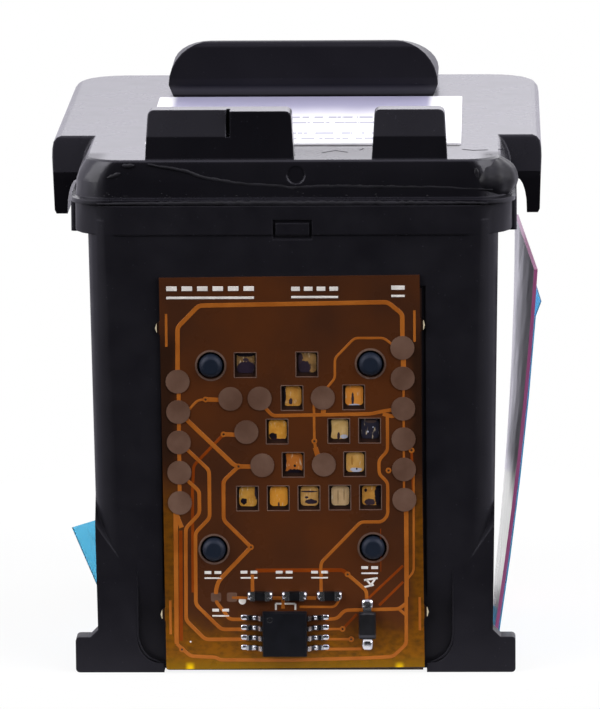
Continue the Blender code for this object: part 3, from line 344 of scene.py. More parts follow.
def waves(place: np.ndarray, seed: int, pitch: float) -> np.ndarray:
    """A smooth random curve: five sines whose pitches and phases come from a seed.

    Args:
        place: Where to read the curve, in millimetres.
        seed: The seed.
        pitch: The longest wave in millimetres.

    Returns:
        Values between about -1 and 1.
    """
    random = np.random.default_rng(seed)
    rates = 2 * np.pi / pitch * random.uniform(1, 6, 5)
    phases = random.uniform(0, 2 * np.pi, 5)
    weights = random.uniform(0.4, 1, 5)
    values = np.sin(place[..., None] * rates + phases) * weights
    return values.sum(axis=-1) / weights.sum()


def curve_normals(mesh: bpy.types.Mesh, limit_deg: float) -> np.ndarray:
    """Works out shading normals for a mesh of triangles with flats and rounded edges.

    A corner's normal is the mean of the normals round its vertex that lie within the limit of its
    own face's. Each counts by the area of the whole flat that its triangle belongs to, so flats
    stay flat and only the rounded edges shade as curves.

    Args:
        mesh: The mesh, all of triangles.
        limit_deg: Faces that meet at more than this many degrees stay sharp.

    Returns:
        One unit normal for each face corner.
    """
    count = len(mesh.polygons)
    normals = np.empty(count * 3)
    centres = np.empty(count * 3)
    areas = np.empty(count)
    corners = np.empty(len(mesh.loops), dtype=int)
    mesh.polygons.foreach_get("normal", normals)
    mesh.polygons.foreach_get("center", centres)
    mesh.polygons.foreach_get("area", areas)
    mesh.loops.foreach_get("vertex_index", corners)
    normals = normals.reshape(-1, 3)
    offset = (normals * centres.reshape(-1, 3)).sum(axis=1) / (0.02 * MM)
    planes = np.round(np.column_stack([normals * 150, offset])).astype(int)
    _, flat = np.unique(planes, axis=0, return_inverse=True)
    flat = flat.ravel()
    weight = np.bincount(flat, areas)[flat]
    order = np.argsort(corners, kind="stable")
    round_vertex = np.bincount(corners)
    start = np.cumsum(round_vertex) - round_vertex
    repeats = round_vertex[corners]
    first = np.repeat(np.arange(len(corners)), repeats)
    step = np.arange(len(first)) - np.repeat(np.cumsum(repeats) - repeats, repeats)
    second = order[start[corners[first]] + step]
    near = (normals[first // 3] * normals[second // 3]).sum(axis=1) > np.cos(np.radians(limit_deg))
    share = (weight[second // 3] * near)[:, None] * normals[second // 3]
    mean = np.stack([np.bincount(first, share[:, axis], len(corners)) for axis in range(3)], axis=1)
    length = np.linalg.norm(mean, axis=1, keepdims=True)
    return np.where(length > 0, mean / np.maximum(length, 1e-30), np.repeat(normals, 3, axis=0))


@dataclass(frozen=True)
class Finish:
    """A finish whose colour, gloss and grain vary as moulding and handling leave them."""

    name: str
    color: str
    color_b: str
    roughness: float
    roughness_spread: float = 0.05
    metallic: float = 0.0
    specular: float = 0.5
    cloud_mm: float = 4.0
    grain_mm: float = 0.12
    grain_depth_mm: float = 0.004
    speck_mm: float = 0.0
    speck_color: str = "#8A8894"
    coat: float = 0.0
    coat_roughness: float = 0.03
    sheer: float = 0.0
    scatter_mm: float = 0.0
    ior: float = 1.5
    sheen_tint: str = "#FFFFFF"
    edge_mm: float = 0.0

    def build(self) -> Material:
        """Makes the material.

        Returns:
            The material, named for the real finish.
        """
        material = bpy.data.materials.new(self.name)
        material.use_nodes = True
        tree = material.node_tree
        shader = tree.nodes["Principled BSDF"]
        values = {
            "Metallic": self.metallic, "Specular IOR Level": self.specular,
            "Specular Tint": linear(self.sheen_tint),
            "Coat Weight": self.coat, "Coat Roughness": self.coat_roughness, "IOR": self.ior,
            "Transmission Weight": self.sheer,
        }
        if self.scatter_mm:
            values["Subsurface Weight"] = 1.0
            values["Subsurface Radius"] = (1.0, 1.0, 1.0)
            values["Subsurface Scale"] = self.scatter_mm * MM
        for name, value in values.items():
            shader.inputs[name].default_value = value
        place = add(tree, "TexCoord", output="Object")
        cloud = add(tree, "TexNoise", {"Vector": place, "Scale": 1.7 / (self.cloud_mm * MM), "Detail": 6.0})
        low, high = self.roughness - self.roughness_spread, self.roughness + self.roughness_spread
        gloss = add(tree, "MapRange", (cloud, 0.3, 0.7, low, high))
        grain = add(tree, "TexNoise", {"Vector": place, "Scale": 1 / (self.grain_mm * MM), "Detail": 2.0})
        bump = {"Height": grain, "Distance": self.grain_depth_mm * MM, "Strength": 1.0}
        relief = self.relief(tree)
        if relief is not None:
            bump["Normal"] = relief
        tree.links.new(self.tint(tree, place), shader.inputs["Base Color"])
        tree.links.new(gloss, shader.inputs["Roughness"])
        tree.links.new(add(tree, "Bump", bump), shader.inputs["Normal"])
        return material

    def relief(self, tree: Tree) -> Socket | None:
        """Rounds the edges by the finish's radius, if it has one, for the grain to stand on.

        Args:
            tree: The material's tree.

        Returns:
            The normal's socket, or None for the mesh's own normals.
        """
        if not self.edge_mm:
            return None
        return add(tree, "Bevel", {"Radius": self.edge_mm * MM}, samples=6)

    def tint(self, tree: Tree, place: Socket) -> Socket:
        """Works out the colour: two tones in soft clouds, with specks of dust where asked.

        Args:
            tree: The material's tree.
            place: Object coordinates.

        Returns:
            The colour's socket.
        """
        cloud = add(tree, "TexNoise", {"Vector": place, "Scale": 1 / (self.cloud_mm * MM), "Detail": 5.0})
        share = add(tree, "MapRange", (cloud, 0.35, 0.65))
        color = add(tree, "Mix", {0: share, 6: linear(self.color), 7: linear(self.color_b)}, data_type="RGBA")
        if self.speck_mm:
            rate = 1 / (self.speck_mm * 12 * MM)
            cell = add(tree, "TexVoronoi", {"Vector": place, "Scale": rate}, output="Distance")
            near = add(tree, "Math", (cell, 0.07), operation="LESS_THAN")
            chosen = add(tree, "SeparateColor", (cell.node.outputs["Color"],))
            some = add(tree, "Math", (chosen, 0.6), operation="GREATER_THAN")
            speck = add(tree, "Math", (near, some), operation="MULTIPLY")
            color = layered(tree, color, [(speck, linear(self.speck_color))])
        return color


def layered(tree: Tree, color: Socket, layers: list[tuple[Socket, Color | Socket]]) -> Socket:
    """Lays colours over a first one, in order, each by its own share of 0 to 1."""
    for share, over in layers:
        color = add(tree, "Mix", {0: share, 6: color, 7: over}, data_type="RGBA")
    return color


def plan_axes(tree: Tree, plan: Plan) -> list[Socket]:
    """Gives plan coordinates inside a material.

    Args:
        tree: The material's tree.
        plan: The frame of the sizes.

    Returns:
        x, y and z in millimetres.
    """
    place = add(tree, "TexCoord", output="Object")
    shifted = add(tree, "VectorMath", (place, (0.0, -plan.wall_y, 0.0)), operation="ADD")
    scaled = add(tree, "VectorMath", {0: shifted, 3: 1 / MM}, operation="SCALE")
    return list(add(tree, "SeparateXYZ", (scaled,)).node.outputs)


@dataclass(frozen=True)
class FilmFinish(Finish):
    """Polyimide film: brown where its copper-backed layers lie, amber where light comes through."""

    plan: Plan = Plan(0.0)
    amber: str = "#7E4C02"
    olive: str = "#4E3208"
    rim: str = "#7A5600"
    glow: str = "#E0B400"
    painted_shade: str = "#24160F"
    cream: str = "#C9BDA2"
    half_width: float = 8.63
    nub_rim: float = 8.8
    turn: float = 0.0087
    blotch_mm: float = 1.1
    mottle_mm: float = 0.42
    edge_x: Point = (7.2, 8.2)
    upper_z: Point = (12.0, 15.0)
    frame_z: Point = (24.0, 21.5)
    shade_share: float = 0.85
    lower_z: Point = (14.0, 10.0)
    glow_share: float = 0.6
    glow_z: Point = (4.4, 0.9)
    rim_z: Point = (1.4, 0.2)
    spots: Point = (-7.02, 6.93)
    spot_x: Point = (0.4, 0.05)
    spot_z: Point = (0.85, 0.4)

    def tint(self, tree: Tree, place: Socket) -> Socket:
        """Works out the colour from the height and from the distance to the film's edges: painted shade along
        the sides of the upper half and past the side edges, and a painted amber glow of light coming through
        the film towards the bottom, along the bottom edge and at two notches.
        """
        x, _, z = plan_axes(tree, self.plan)
        cloud = add(tree, "TexNoise", {"Vector": place, "Scale": 1 / (self.blotch_mm * MM), "Detail": 6.0})
        uneven = add(tree, "Math", (cloud, 1.6, -0.8), operation="MULTIPLY_ADD")
        beside = add(tree, "Math", (x,), operation="ABSOLUTE")
        across = add(tree, "Math", (uneven, 0.5, beside), operation="MULTIPLY_ADD")
        height = add(tree, "Math", (uneven, 1.6, z), operation="MULTIPLY_ADD")
        streaks = add(tree, "Mapping", {"Vector": place, "Scale": (0.8, 1.0, 1.25)})
        mottle = add(tree, "TexNoise", {"Vector": streaks, "Scale": 1 / (self.mottle_mm * MM), "Detail": 6.0})
        mottled = add(tree, "MapRange", (mottle, 0.15, 0.7), **SMOOTH)
        olive, amber = linear(self.olive), linear(self.amber)
        glowing = add(tree, "Mix", {0: mottled, 6: olive, 7: amber}, data_type="RGBA")
        edge = add(tree, "MapRange", (across, *self.edge_x), **SMOOTH)
        upper = add(tree, "MapRange", (z, *self.upper_z, 0.0, edge), **SMOOTH)
        shaded = add(tree, "MapRange", (z, *self.frame_z, 0.0, upper), **SMOOTH)
        lower = add(tree, "MapRange", (z, *self.lower_z, 0.0, edge), **SMOOTH)
        # Painted shade along the sides of the upper half, then a painted amber glow of light coming through
        # the film towards the bottom and along its bottom edge.
        layers = [
            (add(tree, "Math", (shaded, self.shade_share), operation="MULTIPLY"), linear(self.painted_shade)),
            (add(tree, "Math", (lower, self.glow_share), operation="MULTIPLY"), glowing),
            (add(tree, "MapRange", (height, *self.glow_z), **SMOOTH), glowing),
            (add(tree, "MapRange", (z, *self.rim_z), **SMOOTH), linear(self.rim)),
        ]
        # Painted glow at the two notches in the bottom edge.
        for middle in self.spots:
            off = add(tree, "Math", (x, middle), operation="SUBTRACT")
            off = add(tree, "Math", (off,), operation="ABSOLUTE")
            near = add(tree, "MapRange", (off, *self.spot_x), **SMOOTH)
            layers.append((add(tree, "MapRange", (z, *self.spot_z, 0.0, near), **SMOOTH), linear(self.glow)))
        # Past the film's side edges: painted shade, then a cream rim on the nubs.
        turned = add(tree, "Math", (z, self.turn, x), operation="MULTIPLY_ADD")
        turned = add(tree, "Math", (turned,), operation="ABSOLUTE")
        for limit, color in ((self.half_width, self.painted_shade), (self.nub_rim, self.cream)):
            layers.append((add(tree, "Math", (turned, limit), operation="GREATER_THAN"), linear(color)))
        return layered(tree, super().tint(tree, place), layers)


@dataclass(frozen=True)
class Stain:
    """A soft-edged blot on a contact: its place from the contact's middle, its half sizes and its colour."""

    x: float
    z: float
    half_x: float
    half_z: float
    color: str


@dataclass(frozen=True)
class GoldFinish(Finish):
    """Gold-plated contacts, rubbed and inked where the printer's pins met them."""

    plan: Plan = Plan(0.0)
    middle: Point = (0.0, 0.0)
    rub: str = "#D9C3A4"
    rub_mm: float = 0.16
    rub_limits: Point = (0.58, 0.76)
    ragged_mm: float = 0.2
    stain_limits: Point = (1.15, 0.75)
    stains: tuple[Stain, ...] = ()

    def tint(self, tree: Tree, place: Socket) -> Socket:
        """Works out the colour: gold in two tones with pale upright rub marks, then the stains.

        A stain covers the points whose offsets from its middle, divided by its half sizes, have
        squares that add up to less than about 1. Noise makes its outline ragged.
        """
        stroke = add(tree, "Mapping", {"Vector": place, "Scale": (1.0, 1.0, 0.3)})
        rubbed = add(tree, "TexNoise", {"Vector": stroke, "Scale": 1 / (self.rub_mm * MM), "Detail": 4.0})
        layers = [(add(tree, "MapRange", (rubbed, *self.rub_limits), **SMOOTH), linear(self.rub))]
        ragged = add(tree, "TexNoise", {"Vector": place, "Scale": 1 / (self.ragged_mm * MM), "Detail": 4.0})
        edge = add(tree, "Math", (ragged, 1.5, -0.75), operation="MULTIPLY_ADD")
        x, _, z = plan_axes(tree, self.plan)
        for stain in self.stains:
            away = edge
            sides = ((x, self.middle[0] + stain.x, stain.half_x), (z, self.middle[1] + stain.z, stain.half_z))
            for axis, middle, half in sides:
                off = add(tree, "Math", (axis, middle), operation="SUBTRACT")
                off = add(tree, "Math", (off, half), operation="DIVIDE")
                away = add(tree, "Math", (off, off, away), operation="MULTIPLY_ADD")
            layers.append((add(tree, "MapRange", (away, *self.stain_limits), **SMOOTH), linear(stain.color)))
        return layered(tree, super().tint(tree, place), layers)


@dataclass(frozen=True)
class LeadedFinish(Finish):
    """A moulded case with tinned metal at both of its ends."""

    plan: Plan = Plan(0.0)
    axis: int = 0
    centre: float = 0.0
    half: float = 1.0
    tin: str = "#D8D8DC"
    band: Point = (0.0, 0.0)
    band_color: str = "#6E6E76"
    stripe_pitch: float = 0.0
    stripe_limits: Point = (0.5, -0.6)
    painted_shade_stripe: str = "#4C4C54"
    tin_roughness: float = 0.22

    def build(self) -> Material:
        """Makes the material, with a metallic value that rises outside the case.

        Returns:
            The material.
        """
        material = super().build()
        tree = material.node_tree
        shader = tree.nodes["Principled BSDF"]
        ends = self.ends(tree)
        tree.links.new(ends, shader.inputs["Metallic"])
        rise = self.tin_roughness - self.roughness
        polished = add(tree, "Math", (ends, rise, self.roughness), operation="MULTIPLY_ADD")
        tree.links.new(polished, shader.inputs["Roughness"])
        return material

    def off_centre(self, tree: Tree) -> Socket:
        """Gives the distance from the case's middle along its axis, in millimetres."""
        off = add(tree, "Math", (plan_axes(tree, self.plan)[self.axis], self.centre), operation="SUBTRACT")
        return add(tree, "Math", (off,), operation="ABSOLUTE")

    def ends(self, tree: Tree) -> Socket:
        """Gives 1 outside the case, on the leads."""
        return add(tree, "Math", (self.off_centre(tree), self.half), operation="GREATER_THAN")

    def tint(self, tree: Tree, place: Socket) -> Socket:
        """Works out the colour: the case, a faint band on it, and tin at its ends, crossed by painted dark
        stripes of shade where a pitch for them is given.
        """
        layers = []
        if self.band[0] != self.band[1]:
            along = plan_axes(tree, self.plan)[self.axis]
            above = add(tree, "Math", (along, self.band[0]), operation="GREATER_THAN")
            below = add(tree, "Math", (along, self.band[1]), operation="LESS_THAN")
            layers.append((add(tree, "Math", (above, below), operation="MULTIPLY"), linear(self.band_color)))
        tin = linear(self.tin)
        # Painted shade: dark stripes across the tin, as the bent leads' dark reflections.
        if self.stripe_pitch:
            turns = add(tree, "Math", (self.off_centre(tree), 2 * np.pi / self.stripe_pitch), operation="MULTIPLY")
            wave = add(tree, "Math", (turns,), operation="SINE")
            high = add(tree, "MapRange", (wave, *self.stripe_limits), **SMOOTH)
            tin = add(tree, "Mix", {0: high, 6: linear(self.painted_shade_stripe), 7: tin}, data_type="RGBA")
        return layered(tree, super().tint(tree, place), [*layers, (self.ends(tree), tin)])


@dataclass(frozen=True)
class LabelFinish(Finish):
    """Coated paper with rows of faint grey print, which is only dashes here."""

    plan: Plan = Plan(0.0)
    ink: str = "#8E8BA6"
    row_pitch: float = 2.43
    first_row: float = 9.0
    rows: int = 5
    blank_row: int = 2
    margin: Point = (-8.6, 9.6)
    line_half: float = 0.17
    dash_rate: float = 1.7
    row_seed: float = 7.3
    gap_level: float = 0.47
    ink_share: float = 0.8
    painted_shade: str = "#A3A0BC"
    shade_y: Point = (17.5, 25.0)
    shade_x: Point = (9.1, 8.6)
    bend_rate: float = 0.22
    bend_mm: float = 5.0

    def tint(self, tree: Tree, place: Socket) -> Socket:
        """Works out the colour: white paper, rows of dashes with gaps as between words, and a soft painted
        shadow and reflection of the finger tab towards the back.
        """
        x, y, _ = plan_axes(tree, self.plan)
        row = add(tree, "Math", (y, self.first_row - self.row_pitch / 2), operation="SUBTRACT")
        row = add(tree, "Math", (row, self.row_pitch), operation="DIVIDE")
        number = add(tree, "Math", (row,), operation="FLOOR")
        off = add(tree, "Math", (row,), operation="FRACT")
        off = add(tree, "Math", (off, 0.5), operation="SUBTRACT")
        off = add(tree, "Math", (off,), operation="ABSOLUTE")
        along = add(tree, "Math", (x, self.dash_rate), operation="MULTIPLY")
        seed = add(tree, "Math", (number, self.row_seed), operation="MULTIPLY")
        words = add(tree, "CombineXYZ", (along, seed))
        dashes = add(tree, "TexNoise", {"Vector": words, "Scale": 1.0, "Detail": 3.0})
        printed = add(tree, "Math", (off, self.line_half), operation="LESS_THAN")
        limits = (
            (dashes, "GREATER_THAN", self.gap_level), (x, "GREATER_THAN", self.margin[0]),
            (x, "LESS_THAN", self.margin[1]), (number, "GREATER_THAN", -0.5),
            (number, "LESS_THAN", self.rows - 0.5),
        )
        for value, side, limit in limits:
            within = add(tree, "Math", (value, limit), operation=side)
            printed = add(tree, "Math", (printed, within), operation="MULTIPLY")
        blank = add(tree, "Math", (number, float(self.blank_row), 0.5), operation="COMPARE")
        printed = add(tree, "Math", (printed, blank), operation="SUBTRACT", use_clamp=True)
        inked = add(tree, "Math", (printed, self.ink_share), operation="MULTIPLY")
        # Painted shadow and reflection of the finger tab: a lilac grey band towards the label's back, with a
        # wavy front edge.
        along = add(tree, "Math", (x, self.bend_rate), operation="MULTIPLY")
        along = add(tree, "CombineXYZ", (along,))
        bend = add(tree, "TexNoise", {"Vector": along, "Scale": 1.0, "Detail": 2.0})
        depth = add(tree, "Math", (y, self.bend_mm / 2), operation="SUBTRACT")
        depth = add(tree, "Math", (bend, self.bend_mm, depth), operation="MULTIPLY_ADD")
        shaded = add(tree, "MapRange", (depth, *self.shade_y), **SMOOTH)
        beside = add(tree, "Math", (x,), operation="ABSOLUTE")
        shaded = add(tree, "MapRange", (beside, *self.shade_x, 0.0, shaded), **SMOOTH)
        layers = [(inked, linear(self.ink)), (shaded, linear(self.painted_shade))]
        return layered(tree, super().tint(tree, place), layers)


@dataclass(frozen=True)
class HousingFinish(Finish):
    """The housing's plastic, with a painted bluish sheen on its posts' fronts and painted shade in its two
    scoops.
    """

    plan: Plan = Plan(0.0)
    posts: Route = ()
    post_front: float = -0.15
    post_radius: float = 0.86
    post_sheen_color: str = "#141C29"
    scoop_x: float = 10.5
    scoop_z: float = 7.3
    scoop_y: Point = (0.03, 0.22)
    scoop_shade_color: str = "#070609"

    def tint(self, tree: Tree, place: Socket) -> Socket:
        """Works out the colour: a painted sheen within each post's radius and painted shade by the scoops'
        depth.
        """
        x, y, z = plan_axes(tree, self.plan)
        proud = add(tree, "Math", (y, self.post_front), operation="LESS_THAN")
        along = add(tree, "CombineXYZ", {0: x, 2: z})
        layers = []
        # Painted bluish sheen on the front of each post.
        for post_x, post_z in self.posts:
            away = add(tree, "VectorMath", (along, (post_x, 0.0, post_z)), operation="DISTANCE")
            near = add(tree, "Math", (away, self.post_radius), operation="LESS_THAN")
            layers.append((add(tree, "Math", (proud, near), operation="MULTIPLY"), linear(self.post_sheen_color)))
        # Painted shade in the two scoops, deepening as they sink into the nose.
        beside = add(tree, "Math", (x,), operation="ABSOLUTE")
        inner = add(tree, "Math", (beside, self.scoop_x), operation="LESS_THAN")
        low = add(tree, "Math", (z, self.scoop_z), operation="LESS_THAN")
        within = add(tree, "Math", (inner, low), operation="MULTIPLY")
        deep = add(tree, "MapRange", (y, *self.scoop_y, 0.0, within), **SMOOTH)
        return layered(tree, super().tint(tree, place), [*layers, (deep, linear(self.scoop_shade_color))])


@dataclass(frozen=True)
class LidFinish(Finish):
    """The lid's plastic: its wings' fronts and its finger tab's front lean back above a crease."""

    plan: Plan = Plan(0.0)
    wing_x: float = 12.5
    wing_y: float = 9.0
    wing_crease: float = 32.0
    wing_slope: float = 0.36
    tab_y: float = 28.0
    tab_crease: float = 35.85
    tab_slope: float = 0.13
    corner_x: Point = (12.0, 13.0)
    corner_y: Point = (4.5, 3.0)
    corner_dulling: float = 0.27
    foot_reflection_color: str = ""
    foot_top: Point = (35.4, 34.95)
    foot_base: Point = (34.55, 34.75)
    forward: float = -0.8

    def tint(self, tree: Tree, place: Socket) -> Socket:
        """Works out the colour: where a colour for the tab's foot is given, the tab's lowest band takes it as
        a painted reflection of the label in front.
        """
        color = super().tint(tree, place)
        if not self.foot_reflection_color:
            return color
        z = plan_axes(tree, self.plan)[2]
        # Painted reflection of the label on the tab's lowest band.
        band = add(tree, "MapRange", (z, *self.foot_top), **SMOOTH)
        band = add(tree, "MapRange", (z, *self.foot_base, 0.0, band), **SMOOTH)
        return layered(tree, color, [(band, linear(self.foot_reflection_color))])

    def build(self) -> Material:
        """Makes the material, duller on the two front corners, where the skin melted.

        Returns:
            The material.
        """
        material = super().build()
        tree = material.node_tree
        roughness = tree.nodes["Principled BSDF"].inputs["Roughness"]
        plain = roughness.links[0].from_socket
        x, y, _ = plan_axes(tree, self.plan)
        beside = add(tree, "Math", (x,), operation="ABSOLUTE")
        corner = add(tree, "MapRange", (beside, *self.corner_x), **SMOOTH)
        corner = add(tree, "MapRange", (y, *self.corner_y, 0.0, corner), **SMOOTH)
        dulled = add(tree, "Math", (corner, self.corner_dulling, plain), operation="MULTIPLY_ADD")
        tree.links.new(dulled, roughness)
        return material

    def relief(self, tree: Tree) -> Socket | None:
        """Leans what faces forward above each crease: its depth grows evenly with its height."""
        x, y, z = plan_axes(tree, self.plan)
        normal = add(tree, "TexCoord", output="Normal")
        facing = add(tree, "SeparateXYZ", (normal,), output=1)
        forward = add(tree, "Math", (facing, self.forward), operation="LESS_THAN")
        beside = add(tree, "Math", (x,), operation="ABSOLUTE")
        outer = add(tree, "Math", (beside, self.wing_x), operation="GREATER_THAN")
        outer = add(tree, "Math", (outer, forward), operation="MULTIPLY")
        depth = 0.0
        for place, start, crease, slope in (
            (outer, self.wing_y, self.wing_crease, self.wing_slope),
            (forward, self.tab_y, self.tab_crease, self.tab_slope),
        ):
            behind = add(tree, "Math", (y, start), operation="GREATER_THAN")
            behind = add(tree, "Math", (behind, place), operation="MULTIPLY")
            above = add(tree, "Math", (z, crease), operation="SUBTRACT")
            above = add(tree, "Math", (above, 0.0), operation="MAXIMUM")
            part = add(tree, "Math", (behind, above), operation="MULTIPLY")
            part = add(tree, "Math", (part, -slope), operation="MULTIPLY")
            depth = add(tree, "Math", (depth, part), operation="MINIMUM")
        inputs = {"Height": depth, "Distance": MM, "Strength": 1.0}
        edges = super().relief(tree)
        if edges is not None:
            inputs["Normal"] = edges
        return add(tree, "Bump", inputs)


@dataclass(frozen=True)
class TwoFaceFinish(Finish):
    """A sheet that is one colour on its face and another on its back."""

    back: str = "#B9B6C4"

    def tint(self, tree: Tree, place: Socket) -> Socket:
        """Works out the colour from which way the surface faces."""
        normal = add(tree, "TexCoord", output="Normal")
        towards = add(tree, "SeparateXYZ", (normal,))
        behind = add(tree, "Math", (towards, -0.5), operation="LESS_THAN")
        return layered(tree, super().tint(tree, place), [(behind, linear(self.back))])


# Black ABS from a lightly grained mould, dulled by handling: soft highlights on its corners, and painted
# shade in the nose's two scoops.
HOUSING_ABS = HousingFinish(
    "moulded_black_abs", "#0F0E13", "#141318", 0.5, 0.06, cloud_mm=3.0, grain_mm=0.1, grain_depth_mm=0.003,
    speck_mm=0.03, speck_color="#3E3D46", specular=0.23, sheen_tint="#F1EFFF", edge_mm=0.14,
)
# The same plastic from a smoother mould, so its top mirrors what is behind it at a low angle.
LID_ABS = LidFinish(
    "smooth_black_abs", "#0D0C11", "#121116", 0.28, 0.02, cloud_mm=5.0, grain_mm=0.1, grain_depth_mm=0.0006,
    speck_mm=0.03, speck_color="#3E3D46", specular=0.35, coat=0.38, coat_roughness=0.2, sheen_tint="#F1EFFF",
    edge_mm=0.14,
)
# The finger tab, rubbed dull by fingers, with a painted reflection of the label on its lowest band.
TAB_ABS = replace(
    LID_ABS, name="rubbed_black_abs_painted_reflection", roughness=0.38, specular=0.22, coat=0.0, foot_reflection_color="#403F46",
)
# Plastic that melted when the lid was welded on: wavy and satin, a little paler than the lid.
MELTED_ABS = Finish(
    "melted_black_abs", "#121116", "#1A191F", 0.5, 0.06, specular=0.24, cloud_mm=1.0, grain_mm=0.35,
    grain_depth_mm=0.008,
)
# Copper under an amber cover film: orange, and as glossy as the film over it.
TOP_COPPER = Finish(
    "covered_copper", "#97531C", "#A76023", 0.32, 0.05, specular=0.12, cloud_mm=1.5, grain_depth_mm=0.001,
)
# Copper on the film's far side, darkened by the film before it.
BACK_COPPER = Finish(
    "copper_behind_film", "#763109", "#863B0C", 0.32, 0.05, specular=0.12, cloud_mm=1.5, grain_depth_mm=0.001,
)
# Plated pads, dulled by wear: they reflect little and read as a warm grey.
PAD_METAL = Finish(
    "worn_plated_pad", "#604538", "#785C4E", 0.42, 0.06, metallic=0.2, specular=0.3, cloud_mm=2.2,
    grain_mm=0.06, grain_depth_mm=0.002,
)
# The bare edge of a punched hole: paler than the film's glossy face.
CUT_EDGE = Finish(
    "cut_film_edge", "#5C463E", "#6E564A", 0.5, specular=0.3, cloud_mm=0.5, grain_depth_mm=0.001,
)
# Tin-lead solder as it froze: bright, slightly wavy.
SOLDER = Finish(
    "reflowed_solder", "#DADADF", "#C4C4CC", 0.2, 0.06, metallic=1.0, cloud_mm=0.3, grain_mm=0.18,
    grain_depth_mm=0.012,
)
# Epoxy print: matt white with ragged edges too fine to show.
WHITE_PRINT = Finish(
    "white_epoxy_print", "#E9E4E0", "#D6D0CC", 0.6, cloud_mm=0.6, grain_mm=0.08, grain_depth_mm=0.004,
)
# Polyester film tape: even blue, a little stretched.
BLUE_TAPE = Finish(
    "blue_polyester_tape", "#66CEFF", "#6CD4FF", 0.06, 0.02, cloud_mm=5.0, grain_mm=1.6, grain_depth_mm=0.001,
    sheer=0.8, ior=1.04, scatter_mm=1.0,
)
# Stiff polyester sheet, magenta on its outside and a glossy lilac grey on its inside.
TAB_SHEET = TwoFaceFinish(
    "magenta_polyester_sheet", "#B05A90", "#BB6A9A", 0.14, 0.03, cloud_mm=6.0, grain_mm=2.2,
    grain_depth_mm=0.002, back="#E0DBE8",
)
# Melamine foam soaked with ink: nearly black, rough.
INK_FOAM = Finish(
    "ink_soaked_foam", "#0C0C10", "#16161C", 0.9, cloud_mm=0.8, grain_mm=0.4, grain_depth_mm=0.15,
)
# Woven steel screen, drawn as a fine even grain because its threads are too fine to show.
STEEL_SCREEN = Finish(
    "woven_steel_screen", "#8E8E92", "#A2A2A6", 0.42, metallic=1.0, cloud_mm=1.0, grain_mm=0.08,
    grain_depth_mm=0.02,
)
# Polished silicon, a cold dark mirror.
SILICON = Finish(
    "polished_silicon", "#4A4A52", "#54545E", 0.12, 0.02, metallic=0.8, cloud_mm=3.0, grain_depth_mm=0.0,
)
# Nickel plate under a thin gold layer, with a faint haze of dried ink.
NOZZLE_METAL = Finish(
    "gilt_nozzle_plate", "#B08A4A", "#96763E", 0.28, 0.06, metallic=1.0, cloud_mm=1.4, grain_mm=0.1,
)
# Epoxy bead over the bonds: black and smooth, as it flowed.
EPOXY_BEAD = Finish(
    "cured_epoxy_bead", "#0E0E10", "#16161A", 0.24, cloud_mm=1.0, grain_mm=0.6, grain_depth_mm=0.01,
)
# The print head's own polyimide film, darker than the adapter's.
HEAD_FILM = Finish(
    "dark_polyimide_film", "#2A1A14", "#33201A", 0.3, 0.04, cloud_mm=2.0, grain_mm=0.5, grain_depth_mm=0.004,
)
# Hair-thin marks cut into the lid: their broken edges are dull and dark.
SCRATCHED_ABS = Finish(
    "scratched_black_abs", "#2E2D34", "#3A3942", 0.95, specular=0.0, cloud_mm=0.5, grain_mm=0.1,
)


